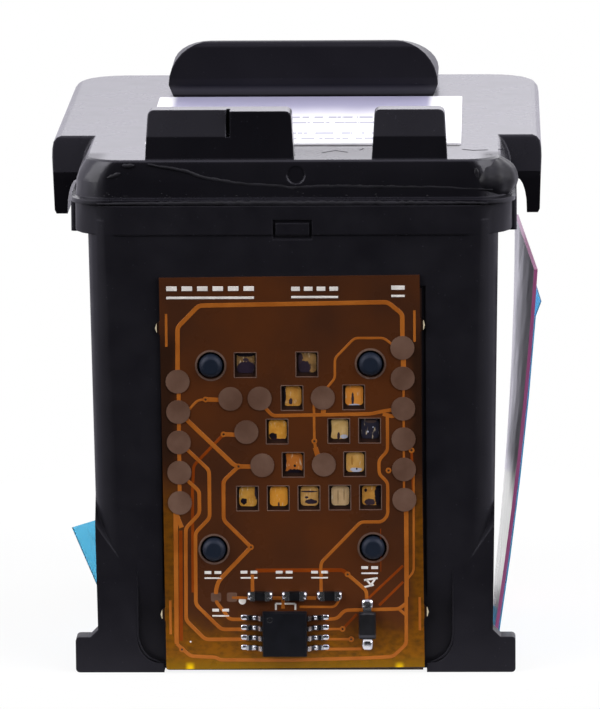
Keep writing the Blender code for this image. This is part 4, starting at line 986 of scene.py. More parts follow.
@dataclass
class Circuit:
    """The adapter circuit and what is soldered, printed and plated on it."""

    plan: Plan
    film_front: float = -0.24
    copper_front: float = -0.254
    back_copper_front: float = -0.247
    print_front: float = -0.258
    wide: float = 0.3
    narrow: float = 0.17
    via_outer: float = 0.19
    via_inner: float = 0.075
    post_hole: float = 0.91
    posts: Route = ((-5.459, 20.833), (5.101, 20.926), (-5.351, 8.434), (5.21, 8.526))
    lead_pitch: float = 0.68
    chip_centre: Point = (-0.68, 2.78)
    chip_half: float = 1.49
    chip_front: float = -1.21
    dimple: Point = (-1.66, 3.82)
    resistor_columns: tuple[float, ...] = (-2.32, -0.03, 2.3)
    resistor_row: float = 5.3
    diode_centre: Point = (4.81, 3.34)
    stagger: float = 0.00015
    contact_shift: Point = (0.03, 0.1)
    window_half: Point = (0.73, 0.84)
    hole_rim: float = 0.13
    cut_width: float = 0.06
    print_sink: float = 0.001
    # Rows of printed bars: the left end, the level, the number of bars, their pitch and their height.
    print_rows: tuple[tuple[float, float, int, float, float], ...] = (
        (-8.35, 25.72, 6, 1.02, 1.05),
        (-0.1, 25.72, 4, 0.84, 0.95),
        (6.5, 25.78, 1, 1.3, 0.95),
        (-6.0, 6.68, 2, 0.66, 0.66),
        (-3.6, 6.7, 2, 0.66, 0.66),
        (-1.26, 6.7, 2, 0.66, 0.66),
        (1.09, 6.7, 2, 0.66, 0.66),
        (-5.51, 4.12, 2, 0.66, 0.66),
        (4.42, 7.0, 2, 0.66, 0.66),
    )
    print_bars: tuple[tuple[Point, Point], ...] = (
        ((4.6, 6.32), (5.5, 6.45)),
        ((4.75, 6.36), (5.05, 5.98)),
        ((5.05, 5.98), (5.35, 6.42)),
        ((4.55, 5.82), (5.25, 6.0)),
        ((-1.28, 4.3), (-1.28, 4.72)),
        ((-1.28, 4.72), (0.02, 4.72)),
        ((0.02, 4.72), (0.02, 4.3)),
    )
    # Solder along a chip lead: its reach from the chip's middle, its half length and its height.
    lead_drops: tuple[Place, ...] = (
        (2.7, 0.24, 0.1), (2.36, 0.16, 0.17), (2.02, 0.17, 0.24), (1.66, 0.14, 0.3),
    )

    def routes(self) -> list[tuple[Route, float]]:
        """The copper on the near side.

        Returns:
            Each route as (x, z) points, with its width.
        """
        w, n = self.wide, self.narrow
        return [
            (((-7.65, 20.3), (-7.63, 23.4), (-6.21, 24.85), (6.26, 25.05), (7.22, 24.26), (7.22, 22.4)), w),
            (((6.75, 22.05), (6.01, 22.65), (4.05, 22.65), (2.75, 21.3), (2.75, 19.95), (2.2, 19.3)), n),
            (((-7.6, 19.6), (-7.6, 11.5)), 0.26),
            (((7.28, 21.8), (7.28, 19.8)), 0.34),
            (((7.28, 19.8), (7.28, 11.6)), 0.15),
            (((-1.9, 18.0), (-1.4, 17.44), (5.1, 17.55), (6.0, 17.75), (6.7, 17.85)), 0.24),
            (((5.9, 17.55), (6.6, 17.35), (7.1, 17.7)), 0.26),
            (((1.97, 18.3), (1.97, 17.5)), 0.34),
            (((1.35, 18.2), (1.36, 15.73)), n),
            (((1.36, 15.73), (1.5, 14.8)), 0.2),
            (((1.42, 15.3), (1.62, 14.6)), 0.34),
            (
                (
                    (6.2, 17.5), (6.2, 15.06), (5.63, 14.44), (5.63, 13.51), (6.2, 12.92), (6.2, 10.72),
                    (5.82, 10.26), (4.4, 10.26), (1.74, 7.5), (1.74, 5.25),
                ),
                0.22,
            ),
            (((-7.1, 17.2), (-3.95, 14.1), (-3.6, 14.03), (-2.4, 14.0)), w),
            (((-6.9, 17.9), (-6.35, 18.5), (-5.82, 18.55)), n),
            (((-5.82, 18.55), (-4.4, 18.5)), w),
            (((-4.65, 16.2), (-3.5, 16.15)), w),
            (((-3.75, 13.95), (-4.68, 13.07), (-4.7, 10.4), (-2.9, 8.57)), 0.26),
            (((-2.9, 8.57), (-5.05, 6.3), (-5.25, 5.7), (-5.25, 5.2)), 0.28),
            (((-5.25, 5.2), (-5.22, 4.8), (-4.69, 4.15), (-4.38, 3.66), (-3.3, 3.66)), 0.24),
            (
                (
                    (-7.2, 15.3), (-5.63, 13.77), (-5.62, 10.55), (-6.58, 9.55), (-6.6, 4.68), (-4.92, 2.98),
                    (-3.3, 2.98),
                ),
                0.25,
            ),
            (
                (
                    (-7.2, 13.2), (-6.3, 12.37), (-6.3, 10.85), (-7.22, 9.85), (-7.26, 3.6), (-6.0, 2.3),
                    (-3.3, 2.3),
                ),
                0.25,
            ),
            (((-7.88, 11.2), (-7.9, 2.0)), 0.3),
            (((-7.86, 10.9), (-7.5, 9.9)), 0.3),
            (
                (
                    (-7.9, 2.0), (-7.0, 1.16), (-5.29, 1.08), (-5.04, 0.9), (-0.36, 0.88), (4.8, 1.02),
                    (6.5, 1.12), (7.38, 1.96), (7.42, 11.2),
                ),
                0.24,
            ),
            (((7.42, 5.2), (7.42, 11.0)), 0.3),
            (((2.0, 3.66), (2.79, 3.7), (3.3, 4.27), (6.9, 4.35), (7.4, 4.75)), 0.24),
            (((6.9, 4.35), (7.4, 3.9)), 0.2),
            (((2.0, 2.98), (3.15, 3.0)), n),
            (((2.0, 2.3), (3.72, 2.3)), n),
            (((2.0, 1.62), (4.4, 1.64)), 0.2),
            (((-2.82, 6.7), (-2.82, 5.3)), 0.24),
            (((0.3, 4.5), (2.66, 4.5), (2.95, 5.0)), n),
            (((-0.8, 5.1), (-0.8, 4.4)), 0.24),
            (((-1.5, 5.1), (-0.9, 5.1)), 0.24),
            (((0.8, 5.1), (1.4, 5.1)), 0.24),
            (((-4.19, 5.15), (-3.2, 5.1)), 0.2),
            (((3.51, 6.71), (4.75, 5.6), (4.78, 4.5)), 0.24),
            (((7.92, 14.2), (7.9, 6.9), (7.5, 6.4)), 0.15),
            (((-8.38, 24.3), (-8.38, 22.1)), n),
            (((8.02, 24.5), (8.02, 22.4)), n),
            (((-8.3, 4.95), (-8.3, 2.65)), n),
            (((8.29, 5.15), (8.29, 2.9)), n),
        ]

    def back_routes(self) -> list[tuple[Route, float]]:
        """The copper on the far side, which shows darker through the film.

        Returns:
            Each route as (x, z) points, with its width.
        """
        n = self.narrow
        return [
            (((-4.65, 16.2), (-6.65, 14.1), (-6.75, 12.5), (-6.78, 5.5)), 0.2),
            (((-2.9, 8.57), (-4.7, 10.4), (-4.7, 13.05)), 0.28),
            (((-2.6, 6.98), (3.2, 7.0), (3.51, 6.71)), 0.26),
            (((7.2, 7.3), (4.9, 5.1)), n),
            (((7.2, 6.2), (5.6, 4.6)), n),
            (((3.15, 3.0), (4.1, 4.0)), n),
            (((-7.56, 9.7), (-7.6, 2.2)), 0.24),
            (((7.79, 15.1), (7.9, 12.0)), n),
            (((5.72, 9.8), (5.72, 6.9)), 0.05),
        ]

    def vias(self) -> Route:
        """The plated holes' middles as (x, z)."""
        return (
            (-5.82, 18.55), (-4.65, 16.2), (-3.68, 14.03), (-2.9, 8.57), (1.36, 15.73), (3.51, 6.71),
            (3.15, 3.0), (3.72, 2.3), (-7.55, 1.62), (7.79, 15.1), (6.26, 13.74),
        )

    def build(self) -> None:
        """Makes the copper, plating, print and solder, and dresses the circuit's own nodes."""
        self.copper()
        self.printed_marks()
        self.solder()
        self.dress()

    def copper(self) -> None:
        """Makes both layers of tracks, the plated holes, the bare pads and the holes' rims."""
        seat = self.film_front + 0.002
        top = Shell(self.plan)
        for number, (route, width) in enumerate(self.routes()):
            top.tube(ribbon(route, width, seat, self.copper_front - self.stagger * number))
        ring_front = self.copper_front - 0.012
        for via in self.vias():
            top.tube(flat_ring(via, self.via_inner, self.via_outer, seat, ring_front), closed=True)
        top.piece("near_tracks", TOP_COPPER.build(), "amber_film")
        back = Shell(self.plan)
        for number, (route, width) in enumerate(self.back_routes()):
            back.tube(ribbon(route, width, seat, self.back_copper_front - self.stagger * number))
        back.piece("far_tracks", BACK_COPPER.build(), "amber_film")
        holes = Shell(self.plan)
        for via in self.vias():
            size = self.via_inner + 0.01
            holes.tube(dome(via, (size, size), seat, self.film_front - ring_front, 1.0, 4.0))
        holes.piece("plated_holes", HEAD_FILM.build(), "dark_film")
        bare = Shell(self.plan)
        for x in (-5.25, -4.19):
            bare.tube(dome((x, 5.17), (0.34, 0.31), seat, 0.02, 0.35, 3.0))
        bare.piece("bare_capacitor_pads", PAD_METAL.build(), "pad_metal")
        rims = Shell(self.plan)
        for number in range(1, 15):
            low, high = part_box(f"head_contact_{number:02d}")
            x = (low[0] + high[0]) / 2 / MM - self.contact_shift[0]
            z = (low[2] + high[2]) / 2 / MM - self.contact_shift[1]
            half_x, half_z = self.window_half
            for side in Side:
                edge = x + side.value * half_x
                upright = ((edge, z - half_z), (edge, z + half_z))
                edge = z + side.value * half_z
                level = ((x - half_x, edge), (x + half_x, edge))
                for route in (upright, level):
                    rims.tube(ribbon(route, self.cut_width, seat, self.copper_front))
        hole = self.post_hole, self.post_hole + self.hole_rim
        for post in self.posts:
            rims.tube(flat_ring(post, *hole, seat, self.copper_front, 48), closed=True)
        rims.piece("punched_edges", CUT_EDGE.build(), "amber_film")

    def printed_marks(self) -> None:
        """Makes the white print: plain bars where the circuit carries print, and its symbols."""
        marks = Shell(self.plan)
        seat = self.film_front + self.print_sink
        bars = []
        for left, level, count, pitch, height in self.print_rows:
            # A row of short bars, as characters stand, over one long bar.
            raised = level + height / 4
            starts = [left + i * pitch for i in range(count)]
            bars += [((start, raised), (start + pitch * 0.68, raised), height * 0.3) for start in starts]
            lower = level - height / 3
            bars.append(((left, lower), (left + pitch * (count - 0.32), lower), height * 0.16))
        bars += [(start, end, 0.13) for start, end in self.print_bars]
        for start, end, width in bars:
            marks.tube(ribbon((start, end), width, seat, self.print_front))
        marks.tube(dome((-3.5, 4.92), (0.25, 0.25), seat, 0.02, 1.0, 3.0))
        marks.tube(dome((-6.97, 2.14), (0.06, 0.06), seat, 0.016, 1.0, 3.0))
        marks.piece("white_print", WHITE_PRINT.build(), "label_paper")

    def solder(self) -> None:
        """Makes the solder at the leads, the resistors' caps and the diode's ends."""
        drops = Shell(self.plan)
        x, z = self.chip_centre
        for side in Side:
            for i in range(4):
                level = z + (i - 1.5) * self.lead_pitch
                for reach, half, rise in self.lead_drops:
                    middle = (x + side.value * reach, level)
                    drops.tube(dome(middle, (half, 0.19), self.film_front, rise, 0.6, 1.1))
        for column in self.resistor_columns:
            for side in Side:
                middle = (column + side.value * 0.6, self.resistor_row)
                drops.tube(dome(middle, (0.28, 0.34), self.film_front, 0.44, 0.55, 1.5))
        x, z = self.diode_centre
        drops.tube(dome((x, z + 1.38), (0.42, 0.36), self.film_front, 0.3, 0.6, 1.5))
        drops.tube(dome((x, z - 1.38), (0.4, 0.42), self.film_front, 0.3, 0.6, 1.5))
        drops.piece("solder", SOLDER.build(), "pad_metal")

    def gild(self) -> None:
        """Gives each contact its own gold, worn and stained as each one is."""
        ink, dusk, haze = "#17101A", "#3A2C34", "#B9BCD0"
        # Soft gold over nickel: the tone, a second tone, and the stains from the bottom one up.
        looks = (
            (
                "#8A6A40", "#6E5434",
                ((0.0, -0.35, 0.7, 0.5, "#2A2030"), (0.0, 0.62, 0.7, 0.2, ink), (0.0, 0.22, 0.2, 0.13, dusk)),
            ),
            ("#A07A48", "#7A5C38", ((-0.25, -0.4, 0.5, 0.55, "#2E2430"), (-0.5, 0.3, 0.2, 0.4, dusk))),
            ("#CC9444", "#B97E34", ((-0.62, 0.1, 0.2, 0.8, ink), (-0.12, -0.35, 0.13, 0.2, dusk))),
            ("#E2953F", "#DE8A34", ((-0.1, -0.25, 0.09, 0.45, dusk), (0.0, -0.66, 0.35, 0.1, haze))),
            ("#E0A040", "#CC8A30", ((-0.3, -0.45, 0.27, 0.24, ink), (0.0, -0.72, 0.7, 0.12, "#3A2030"))),
            (
                "#D8B478", "#C8A060",
                (
                    (-0.05, -0.45, 0.1, 0.25, dusk), (0.32, -0.5, 0.25, 0.14, haze),
                    (-0.62, 0.0, 0.12, 0.7, ink),
                ),
            ),
            (
                "#2C2A38", "#232230",
                (
                    (-0.15, -0.2, 0.06, 0.06, haze), (0.2, 0.1, 0.05, 0.05, haze),
                    (0.05, 0.5, 0.4, 0.12, "#4A3A38"),
                ),
            ),
            (
                "#C8782C", "#B8682A",
                ((0.0, -0.72, 0.75, 0.3, ink), (0.08, -0.2, 0.09, 0.09, ink), (-0.6, 0.0, 0.14, 0.7, ink)),
            ),
            (
                "#D8A860", "#CC9648",
                (
                    (0.05, -0.52, 0.42, 0.16, haze), (0.1, -0.45, 0.07, 0.07, ink),
                    (-0.2, 0.1, 0.08, 0.3, "#B07C38"),
                ),
            ),
            ("#D09A44", "#BC8434", ((-0.28, -0.32, 0.22, 0.22, ink), (0.55, 0.3, 0.12, 0.5, dusk))),
            ("#E09A38", "#DC9030", ((0.0, -0.55, 0.06, 0.18, dusk),)),
            (
                "#C89A58", "#B48448",
                (
                    (0.0, 0.3, 0.55, 0.06, dusk), (0.1, -0.38, 0.4, 0.17, "#2E2430"),
                    (-0.2, -0.1, 0.12, 0.08, dusk),
                ),
            ),
            ("#C8A880", "#BA9A70", ((-0.15, -0.1, 0.05, 0.5, "#9A7C58"), (0.25, 0.1, 0.05, 0.4, "#9A7C58"))),
            (
                "#C89040", "#AC7634",
                ((0.5, 0.0, 0.26, 0.8, ink), (-0.1, -0.45, 0.35, 0.24, dusk), (-0.35, 0.35, 0.1, 0.12, ink)),
            ),
        )
        for number, (tone, second, stains) in enumerate(looks, 1):
            node = f"head_contact_{number:02d}"
            low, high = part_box(node)
            middle = ((low[0] + high[0]) / 2 / MM, (low[2] + high[2]) / 2 / MM)
            gold = GoldFinish(
                f"worn_gold_plate_{number:02d}", tone, second, 0.4, 0.08, metallic=0.15, specular=0.3,
                cloud_mm=0.5, plan=self.plan, middle=middle, stains=tuple(Stain(*stain) for stain in stains),
            )
            paint(node, gold.build())

    def dress(self) -> None:
        """Gives the circuit's CAD nodes their finishes."""
        # Two layers of polyimide with glue between them: brown, glossy, mottled where it is lit from behind.
        film = FilmFinish(
            "layered_polyimide_film", "#402416", "#522B14", 0.3, 0.05, specular=0.12, cloud_mm=6.0,
            grain_mm=0.9, grain_depth_mm=0.006, plan=self.plan,
        )
        paint("adapter_flex", film.build())
        paint("head_flex", HEAD_FILM.build())
        pad = PAD_METAL.build()
        for number in range(1, 18):
            paint(f"adapter_pad_{number:02d}", pad)
        self.gild()
        # Epoxy moulding compound with tinned copper leads, crossed by painted dark stripes of shade.
        chip = LeadedFinish(
            "epoxy_chip_case", "#0A0B10", "#0F1016", 0.55, 0.05, specular=0.1, cloud_mm=0.8, grain_mm=0.05,
            grain_depth_mm=0.003, plan=self.plan, centre=self.chip_centre[0], half=self.chip_half,
            stripe_pitch=0.44,
        )
        paint("controller_chip", chip.build())
        dimple = Shell(self.plan)
        dimple.tube(dome(self.dimple, (0.2, 0.2), self.chip_front + 0.01, 0.02, 1.0, 4.0))
        dimple.piece("pin_one_dimple", EPOXY_BEAD.build(), "chip_case")
        for number, column in enumerate(self.resistor_columns, 1):
            # Glass glaze over the resistor's film, with plated caps.
            glaze = LeadedFinish(
                f"glazed_resistor_{number}", "#0C0C0E", "#141418", 0.3, 0.04, specular=0.3, cloud_mm=0.4,
                grain_mm=0.1, plan=self.plan, centre=column, half=0.33,
            )
            paint(f"resistor_{number}", glaze.build())
        # Black moulded diode with a pale band at its cathode.
        case = LeadedFinish(
            "moulded_diode_case", "#0F0F12", "#16161A", 0.45, 0.05, specular=0.25, cloud_mm=0.6,
            grain_mm=0.06, plan=self.plan, axis=2, centre=self.diode_centre[1], half=0.9, band=(2.62, 2.78),
            band_color="#3A3A40",
        )
        paint("diode", case.build())


def paint(node: str, material: Material) -> None:
    """Gives a CAD node one finish.

    Args:
        node: The node's name.
        material: Its new material.
    """
    materials = NODES[node].data.materials
    materials.clear()
    materials.append(material)


@dataclass
class Housing:
    """The body and the lid, with the seam that melted when the lid was welded on."""

    plan: Plan
    lid_front: float = 0.3
    collar_front: float = -0.05
    flash_route: Route = ((-12.9, 31.62), (-4.0, 31.63), (5.0, 31.62), (12.9, 31.62))
    scoop_route: Route = ((10.5, 6.9), (10.5, 2.2), (10.0, 1.15), (8.9, 0.62))
    weld_mm: float = 0.002
    tab_y: float = 28.9
    tab_z: float = 34.5
    smooth_deg: float = 20.0
    sunk: float = 0.06
    wander: float = 0.03
    crumbs: int = 150
    lump_centre: Place = (12.95, 2.5, 32.95)
    lump_half: Place = (1.92, 2.3, 1.5)
    swell: float = 0.012
    mark_depths: Point = (34.44, 34.472)
    seam_route: Route = (
        (-9.5, 34.2), (-8.2, 33.95), (-6.9, 33.75), (-6.0, 33.3), (-3.2, 32.85), (-0.9, 32.75), (0.1, 32.55),
        (1.6, 32.72), (6.0, 32.66), (10.5, 32.6), (13.2, 32.42),
    )
    left_creases: tuple[Route, ...] = (
        ((-12.2, 33.3), (-11.7, 33.45), (-11.3, 33.6)),
        ((-11.2, 34.12), (-10.4, 34.1)),
    )
    right_creases: tuple[Route, ...] = (
        ((12.2, 33.2), (12.1, 33.9)),
    )
    top_marks: tuple[tuple[tuple[float, float], ...], ...] = (
        ((1.9, 3.5), (2.75, 4.5), (3.6, 3.7)),
        ((11.2, 4.9), (11.9, 4.4), (12.9, 4.6)),
        ((13.6, 4.9), (14.0, 4.6)),
        ((4.4, 4.6), (4.6, 5.4)),
    )

    def build(self) -> None:
        """Makes the melted seam and the marks, and dresses the body and the lid."""
        self.seam()
        self.corner_melt()
        self.scoop_rims()
        self.marks()
        housing = replace(HOUSING_ABS, plan=self.plan, posts=Circuit(self.plan).posts)
        self.smoothed("body_shell", housing.build())
        lid = self.smoothed("lid", replace(LID_ABS, plan=self.plan).build())
        self.rub_tab(lid)

    def rub_tab(self, lid: bpy.types.Object) -> None:
        """Gives the lid's faces on the finger tab their own duller finish, with its painted reflection on the
        lowest band.

        Args:
            lid: The dressed lid.
        """
        mesh = lid.data
        mesh.materials.append(replace(TAB_ABS, plan=self.plan).build())
        centres = np.empty(len(mesh.polygons) * 3)
        mesh.polygons.foreach_get("center", centres)
        low = self.plan.world(np.array([0.0, self.tab_y, self.tab_z]))
        on_tab = (centres.reshape(-1, 3)[:, 1:] > low[1:]).all(axis=1)
        mesh.polygons.foreach_set("material_index", on_tab.astype(int))

    def smoothed(self, name: str, material: Material) -> bpy.types.Object:
        """Makes a welded copy of a CAD node, whose rounded edges are shaded as curves.

        Args:
            name: The node's name.
            material: Its finish.

        Returns:
            The copy.
        """
        mesh = NODES[name].data.copy()
        mesh.name = f"{name}_moulding"
        mesh.transform(NODES[name].matrix_world)
        work = bmesh.new()
        work.from_mesh(mesh)
        bmesh.ops.remove_doubles(work, verts=work.verts, dist=self.weld_mm * MM)
        work.to_mesh(mesh)
        work.free()
        mesh.materials.clear()
        mesh.materials.append(material)
        mesh.shade_smooth()
        mesh.normals_split_custom_set(curve_normals(mesh, self.smooth_deg).tolist())
        piece = new_object(mesh.name, mesh)
        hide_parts(name)
        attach(piece, BODY)
        LOG.info("%s: %d faces", mesh.name, len(mesh.polygons))
        return piece

    def ridge(self, route: Route, width: float, height: float, seed: int, front: float) -> np.ndarray:
        """A melted ridge: a half ellipse carried along a route, uneven in width and height.

        The section's points are (cosine, sine) of an angle from 0 to 180 degrees, times the half
        width and the height, which both vary along the route by smooth random waves.

        Args:
            route: The ridge's route as (x, z).
            width: Its width.
            height: How far it stands out.
            seed: The seed of its unevenness.
            front: The y of the face that it stands on.

        Returns:
            Rings of points along the route.
        """
        corners = rounded(route, 0.6)
        run = np.concatenate([[0.0], np.cumsum(np.linalg.norm(np.diff(corners, axis=0), axis=1))])
        place = np.linspace(0, run[-1], max(12, int(run[-1] / 0.12)))
        path = np.stack([np.interp(place, run, corners[:, i]) for i in range(2)], axis=1)
        path[:, 1] += self.wander * waves(place, seed, 5.0)
        steps = side_steps(path)
        fade = np.sin(np.clip(place / run[-1], 0.02, 0.98) * np.pi) ** 0.3
        half = width / 2 * (1 + 0.35 * waves(place, seed + 1, 2.0)) * fade
        rise = height * (1 + 0.45 * waves(place, seed + 2, 1.6)) * fade
        angle = np.linspace(0, np.pi, 7)
        across = path[:, None] + steps[:, None] * (np.cos(angle)[None] * half[:, None])[..., None]
        depth = front + self.sunk - (self.sunk + rise[:, None]) * np.sin(angle)[None]
        return np.stack([across[..., 0], depth, across[..., 1]], axis=-1)

    def seam(self) -> None:
        """Makes the wavy edge of the melted skin and the crumbs along the lip."""
        skin = Shell(self.plan)
        skin.tube(self.ridge(self.seam_route, 0.34, 0.03, 11, self.lid_front))
        skin.tube(self.ridge(self.flash_route, 0.36, 0.06, 23, self.collar_front))
        for seed, route in enumerate(self.left_creases + self.right_creases):
            skin.tube(self.ridge(route, 0.3, 0.03, 40 + seed, self.lid_front))
        random = np.random.default_rng(5)
        for _ in range(self.crumbs):
            x = random.uniform(-12.6, 13.0)
            centre = (x, 31.95 + 0.14 * random.standard_normal() - 0.008 * x)
            half = (random.uniform(0.03, 0.12), random.uniform(0.03, 0.07))
            skin.tube(dome(centre, half, self.lid_front + 0.02, random.uniform(0.02, 0.06), 1.0))
        skin.piece("melted_seam", MELTED_ABS.build(), "black_lid_plastic", smooth=70)

    def scoop_rims(self) -> None:
        """Makes the fine raised edge round the outer side of the nose's two scoops."""
        rims = Shell(self.plan)
        for seed, side in enumerate((-1.0, 1.0)):
            route = tuple((side * x, z) for x, z in self.scoop_route)
            rims.tube(self.ridge(route, 0.12, 0.05, 60 + seed, 0.0))
        rims.piece("scoop_rims", HOUSING_ABS.build(), "black_plastic", smooth=70)

    def corner_melt(self) -> None:
        """Makes the lump that stands out of the lid's right front corner.

        The lump is an ellipsoid whose radius varies a little with latitude and longitude.
        """
        angle = np.linspace(0, 2 * np.pi, 108, endpoint=False)[None]
        tilt = np.linspace(-0.48, 0.48, 25)[:, None] * np.pi
        swell = 1 + self.swell * waves(angle * 1.3 + tilt * 2.1, 8, 4.0) + self.swell * np.cos(11 * angle)
        (x, y, z), (half_x, half_y, half_z) = self.lump_centre, self.lump_half
        x = x + half_x * np.cos(tilt) * np.cos(angle) * swell
        y = y + half_y * np.cos(tilt) * np.sin(angle) * swell
        z = z + half_z * np.sin(tilt) * swell
        lump = Shell(self.plan)
        lump.tube(np.stack([x, y, z], axis=-1))
        lump.piece("melted_corner", MELTED_ABS.build(), "black_lid_plastic", smooth=70)

    def marks(self) -> None:
        """Makes the small chevron and the scratches on the lid's top."""
        cuts = Shell(self.plan)
        for route in self.top_marks:
            flat = ribbon(route, 0.1, *self.mark_depths, 0.05)
            cuts.tube(flat[..., [0, 2, 1]])
        cuts.piece("lid_marks", SCRATCHED_ABS.build(), "black_lid_plastic")


@dataclass
class Insides:
    """What the housing holds, the print head, and the label, tape and tab on the outside."""

    plan: Plan

    def build(self) -> None:
        """Dresses the nodes."""
        finishes = {
            INK_FOAM: ("foam_reservoir",),
            STEEL_SCREEN: ("filter_screen",),
            SILICON: ("printhead_die",),
            NOZZLE_METAL: ("nozzle_plate",),
            EPOXY_BEAD: ("encapsulant_bead_front", "encapsulant_bead_rear"),
            BLUE_TAPE: ("nozzle_tape",),
            TAB_SHEET: ("pull_tab",),
        }
        for finish, nodes in finishes.items():
            material = finish.build()
            for node in nodes:
                paint(node, material)
        # Coated label paper: white, smooth, with grey print.
        paper = LabelFinish(
            "coated_label_paper", "#EFEDF4", "#F2F0F7", 0.45, 0.04, specular=0.3, cloud_mm=6.0, grain_mm=0.3,
            grain_depth_mm=0.002, plan=self.plan,
        )
        paint("top_label", paper.build())


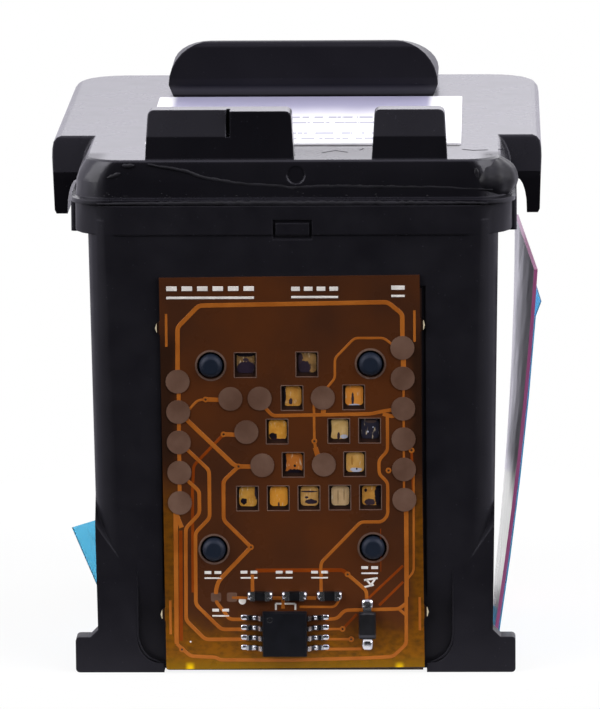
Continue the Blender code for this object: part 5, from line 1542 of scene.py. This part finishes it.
@dataclass
class Studio:
    """A pale floor under a soft light, and the camera where the photographer's stood."""

    plan: Plan
    floor_radius: float = 0.04
    backdrop_side: Place = (0.0, 0.85, 0.53)
    room_edge: float = -0.55
    backdrop_edge: float = 0.05
    room_level: float = 0.03
    backdrop_fill: float = 0.22
    backdrop_color: str = "#F4F1FF"
    floor_shift: float = 0.012
    camera_mm: Place = (13.1, -455.9, 104.4)
    yaw: float = 1.59
    pitch: float = 10.3
    roll: float = -0.42
    focal_px: float = 7014.0
    image_width_px: float = 600.0
    sensor_mm: float = 36.0
    # The softboxes: the name, the place in metres, the side in metres and the power in watts.
    lamps: tuple[tuple[str, Place, float, float], ...] = (
        ("left_softbox", (-0.56, -0.3, 0.4), 0.74, 6.3),
        ("right_softbox", (0.56, -0.3, 0.4), 0.74, 6.3),
        ("back_softbox", (0.1, 0.5, 0.45), 0.7, 3.0),
    )
    aim: Place = (0.0, 0.0, 0.02)
    floor_points: int = 96
    floor_drop: float = 0.00002
    floor_fade: Point = (0.0, 0.02)
    floor_share: float = 0.88

    def build(self) -> None:
        """Makes the camera, floor, world and lamps."""
        self.camera()
        self.floor()
        self.world()
        for lamp in self.lamps:
            self.lamp(*lamp)
        bpy.context.scene.view_settings.view_transform = "Standard"

    def camera(self) -> None:
        """Sets the camera from its fitted place and angles."""
        yaw, pitch, roll = np.radians([self.yaw, self.pitch, self.roll])
        right = np.array([np.cos(yaw), np.sin(yaw), 0.0])
        level = np.array([-np.sin(yaw), np.cos(yaw), 0.0])
        up = np.array([0.0, 0.0, 1.0])
        forward = np.cos(pitch) * level - np.sin(pitch) * up
        above = np.sin(pitch) * level + np.cos(pitch) * up
        across = np.cos(roll) * right + np.sin(roll) * above
        above = np.cos(roll) * above - np.sin(roll) * right
        data = bpy.data.cameras.new("camera")
        data.sensor_fit = "HORIZONTAL"
        data.sensor_width = self.sensor_mm
        data.lens = self.focal_px / self.image_width_px * self.sensor_mm
        data.clip_start = 0.02
        data.clip_end = 10.0
        camera = new_object("camera", data)
        stand(camera, [across, above, -forward], self.plan.world(np.array(self.camera_mm)))
        bpy.context.scene.camera = camera

    def floor(self) -> None:
        """Makes a round floor that reads as white to the camera and keeps the cartridge's shadow."""
        angle = np.linspace(0, 2 * np.pi, self.floor_points, endpoint=False)
        points = np.stack([np.cos(angle), np.sin(angle), np.zeros_like(angle)], axis=1) * self.floor_radius
        points += [0.0, self.floor_shift, -self.floor_drop]
        mesh = bpy.data.meshes.new("floor")
        mesh.from_pydata(points.tolist(), [], [tuple(range(self.floor_points))])
        material = bpy.data.materials.new("white_paper_floor")
        material.use_nodes = True
        tree = material.node_tree
        shader = tree.nodes["Principled BSDF"]
        shader.inputs["Base Color"].default_value = linear("#F4F4F6")
        shader.inputs["Roughness"].default_value = 0.9
        shader.inputs["Specular IOR Level"].default_value = 0.0
        behind = add(tree, "TexCoord", output="Object")
        depth = add(tree, "SeparateXYZ", (behind,), output=1)
        rays = self.background_rays(tree, add(tree, "MapRange", (depth, *self.floor_fade), **SMOOTH))
        share = add(tree, "Math", (rays, self.floor_share), operation="MULTIPLY")
        glow = add(tree, "Emission", {"Color": (1.0, 1.0, 1.0, 1.0), "Strength": 1.0})
        blend = add(tree, "MixShader", (share, shader.outputs[0], glow))
        tree.links.new(blend, tree.nodes["Material Output"].inputs[0])
        mesh.materials.append(material)
        floor = new_object("floor", mesh)

    def background_rays(self, tree: Tree, backdrop: Socket) -> Socket:
        """Finds the rays that see the white background.

        Args:
            tree: A material's or the world's tree.
            backdrop: 1 where the white backdrop stands, 0 in the dark room before it.

        Returns:
            1 for the camera's rays, and for reflected and refracted ones towards the backdrop.
        """
        rays = add(tree, "LightPath").node.outputs
        bent = add(tree, "Math", (rays["Is Glossy Ray"], rays["Is Transmission Ray"]), operation="MAXIMUM")
        mirrored = add(tree, "Math", (bent, backdrop), operation="MULTIPLY")
        return add(tree, "Math", (rays["Is Camera Ray"], mirrored), operation="MAXIMUM")

    def world(self) -> None:
        """Makes the surroundings: a white backdrop behind and above, and a dark room in front."""
        world = bpy.data.worlds.new("studio")
        bpy.context.scene.world = world
        world.use_nodes = True
        tree = world.node_tree
        tree.nodes.clear()
        direction = add(tree, "TexCoord", output="Generated")
        ends = (direction, self.backdrop_side)
        towards = add(tree, "VectorMath", ends, operation="DOT_PRODUCT", output="Value")
        backdrop = add(tree, "MapRange", (towards, self.room_edge, self.backdrop_edge), **SMOOTH)
        level = add(tree, "Math", (backdrop, self.backdrop_fill, self.room_level), operation="MULTIPLY_ADD")
        soft = add(tree, "Background", {"Color": linear("#FBFAFF"), "Strength": level})
        seen = add(tree, "LightPath", output="Is Camera Ray")
        tones = {6: linear(self.backdrop_color), 7: (1.0, 1.0, 1.0, 1.0)}
        white = add(tree, "Mix", {0: seen, **tones}, data_type="RGBA")
        plain = add(tree, "Background", {"Color": white, "Strength": 1.0})
        share = self.background_rays(tree, backdrop)
        blend = add(tree, "MixShader", (share, soft, plain))
        add(tree, "OutputWorld", (blend,))

    def lamp(self, name: str, place: Place, size: float, watts: float) -> None:
        """Adds a square softbox that points at the cartridge.

        Args:
            name: The lamp's name.
            place: Where it stands, in metres.
            size: Its side in metres.
            watts: Its power.
        """
        data = bpy.data.lights.new(name, "AREA")
        data.size = size
        data.energy = watts
        back = np.array(place) - np.array(self.aim)
        back /= np.linalg.norm(back)
        side = np.cross([0.0, 1.0, 0.0] if abs(back[1]) < 0.9 else [0.0, 0.0, 1.0], back)
        side /= np.linalg.norm(side)
        stand(new_object(name, data), [side, np.cross(back, side), back], np.array(place))


def main() -> None:
    """Builds the dressed cartridge in its studio."""
    logging.basicConfig(level=logging.INFO, format="%(message)s")
    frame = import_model()
    NODES.update(frame["nodes"])
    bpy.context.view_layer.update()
    plan = Plan(float(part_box("lid")[1][1]) - 41.2 * MM)
    for part in (Circuit(plan), Housing(plan), Insides(plan), Studio(plan)):
        LOG.info("building %s", type(part).__name__)
        part.build()


if __name__ == "__main__":
    main()
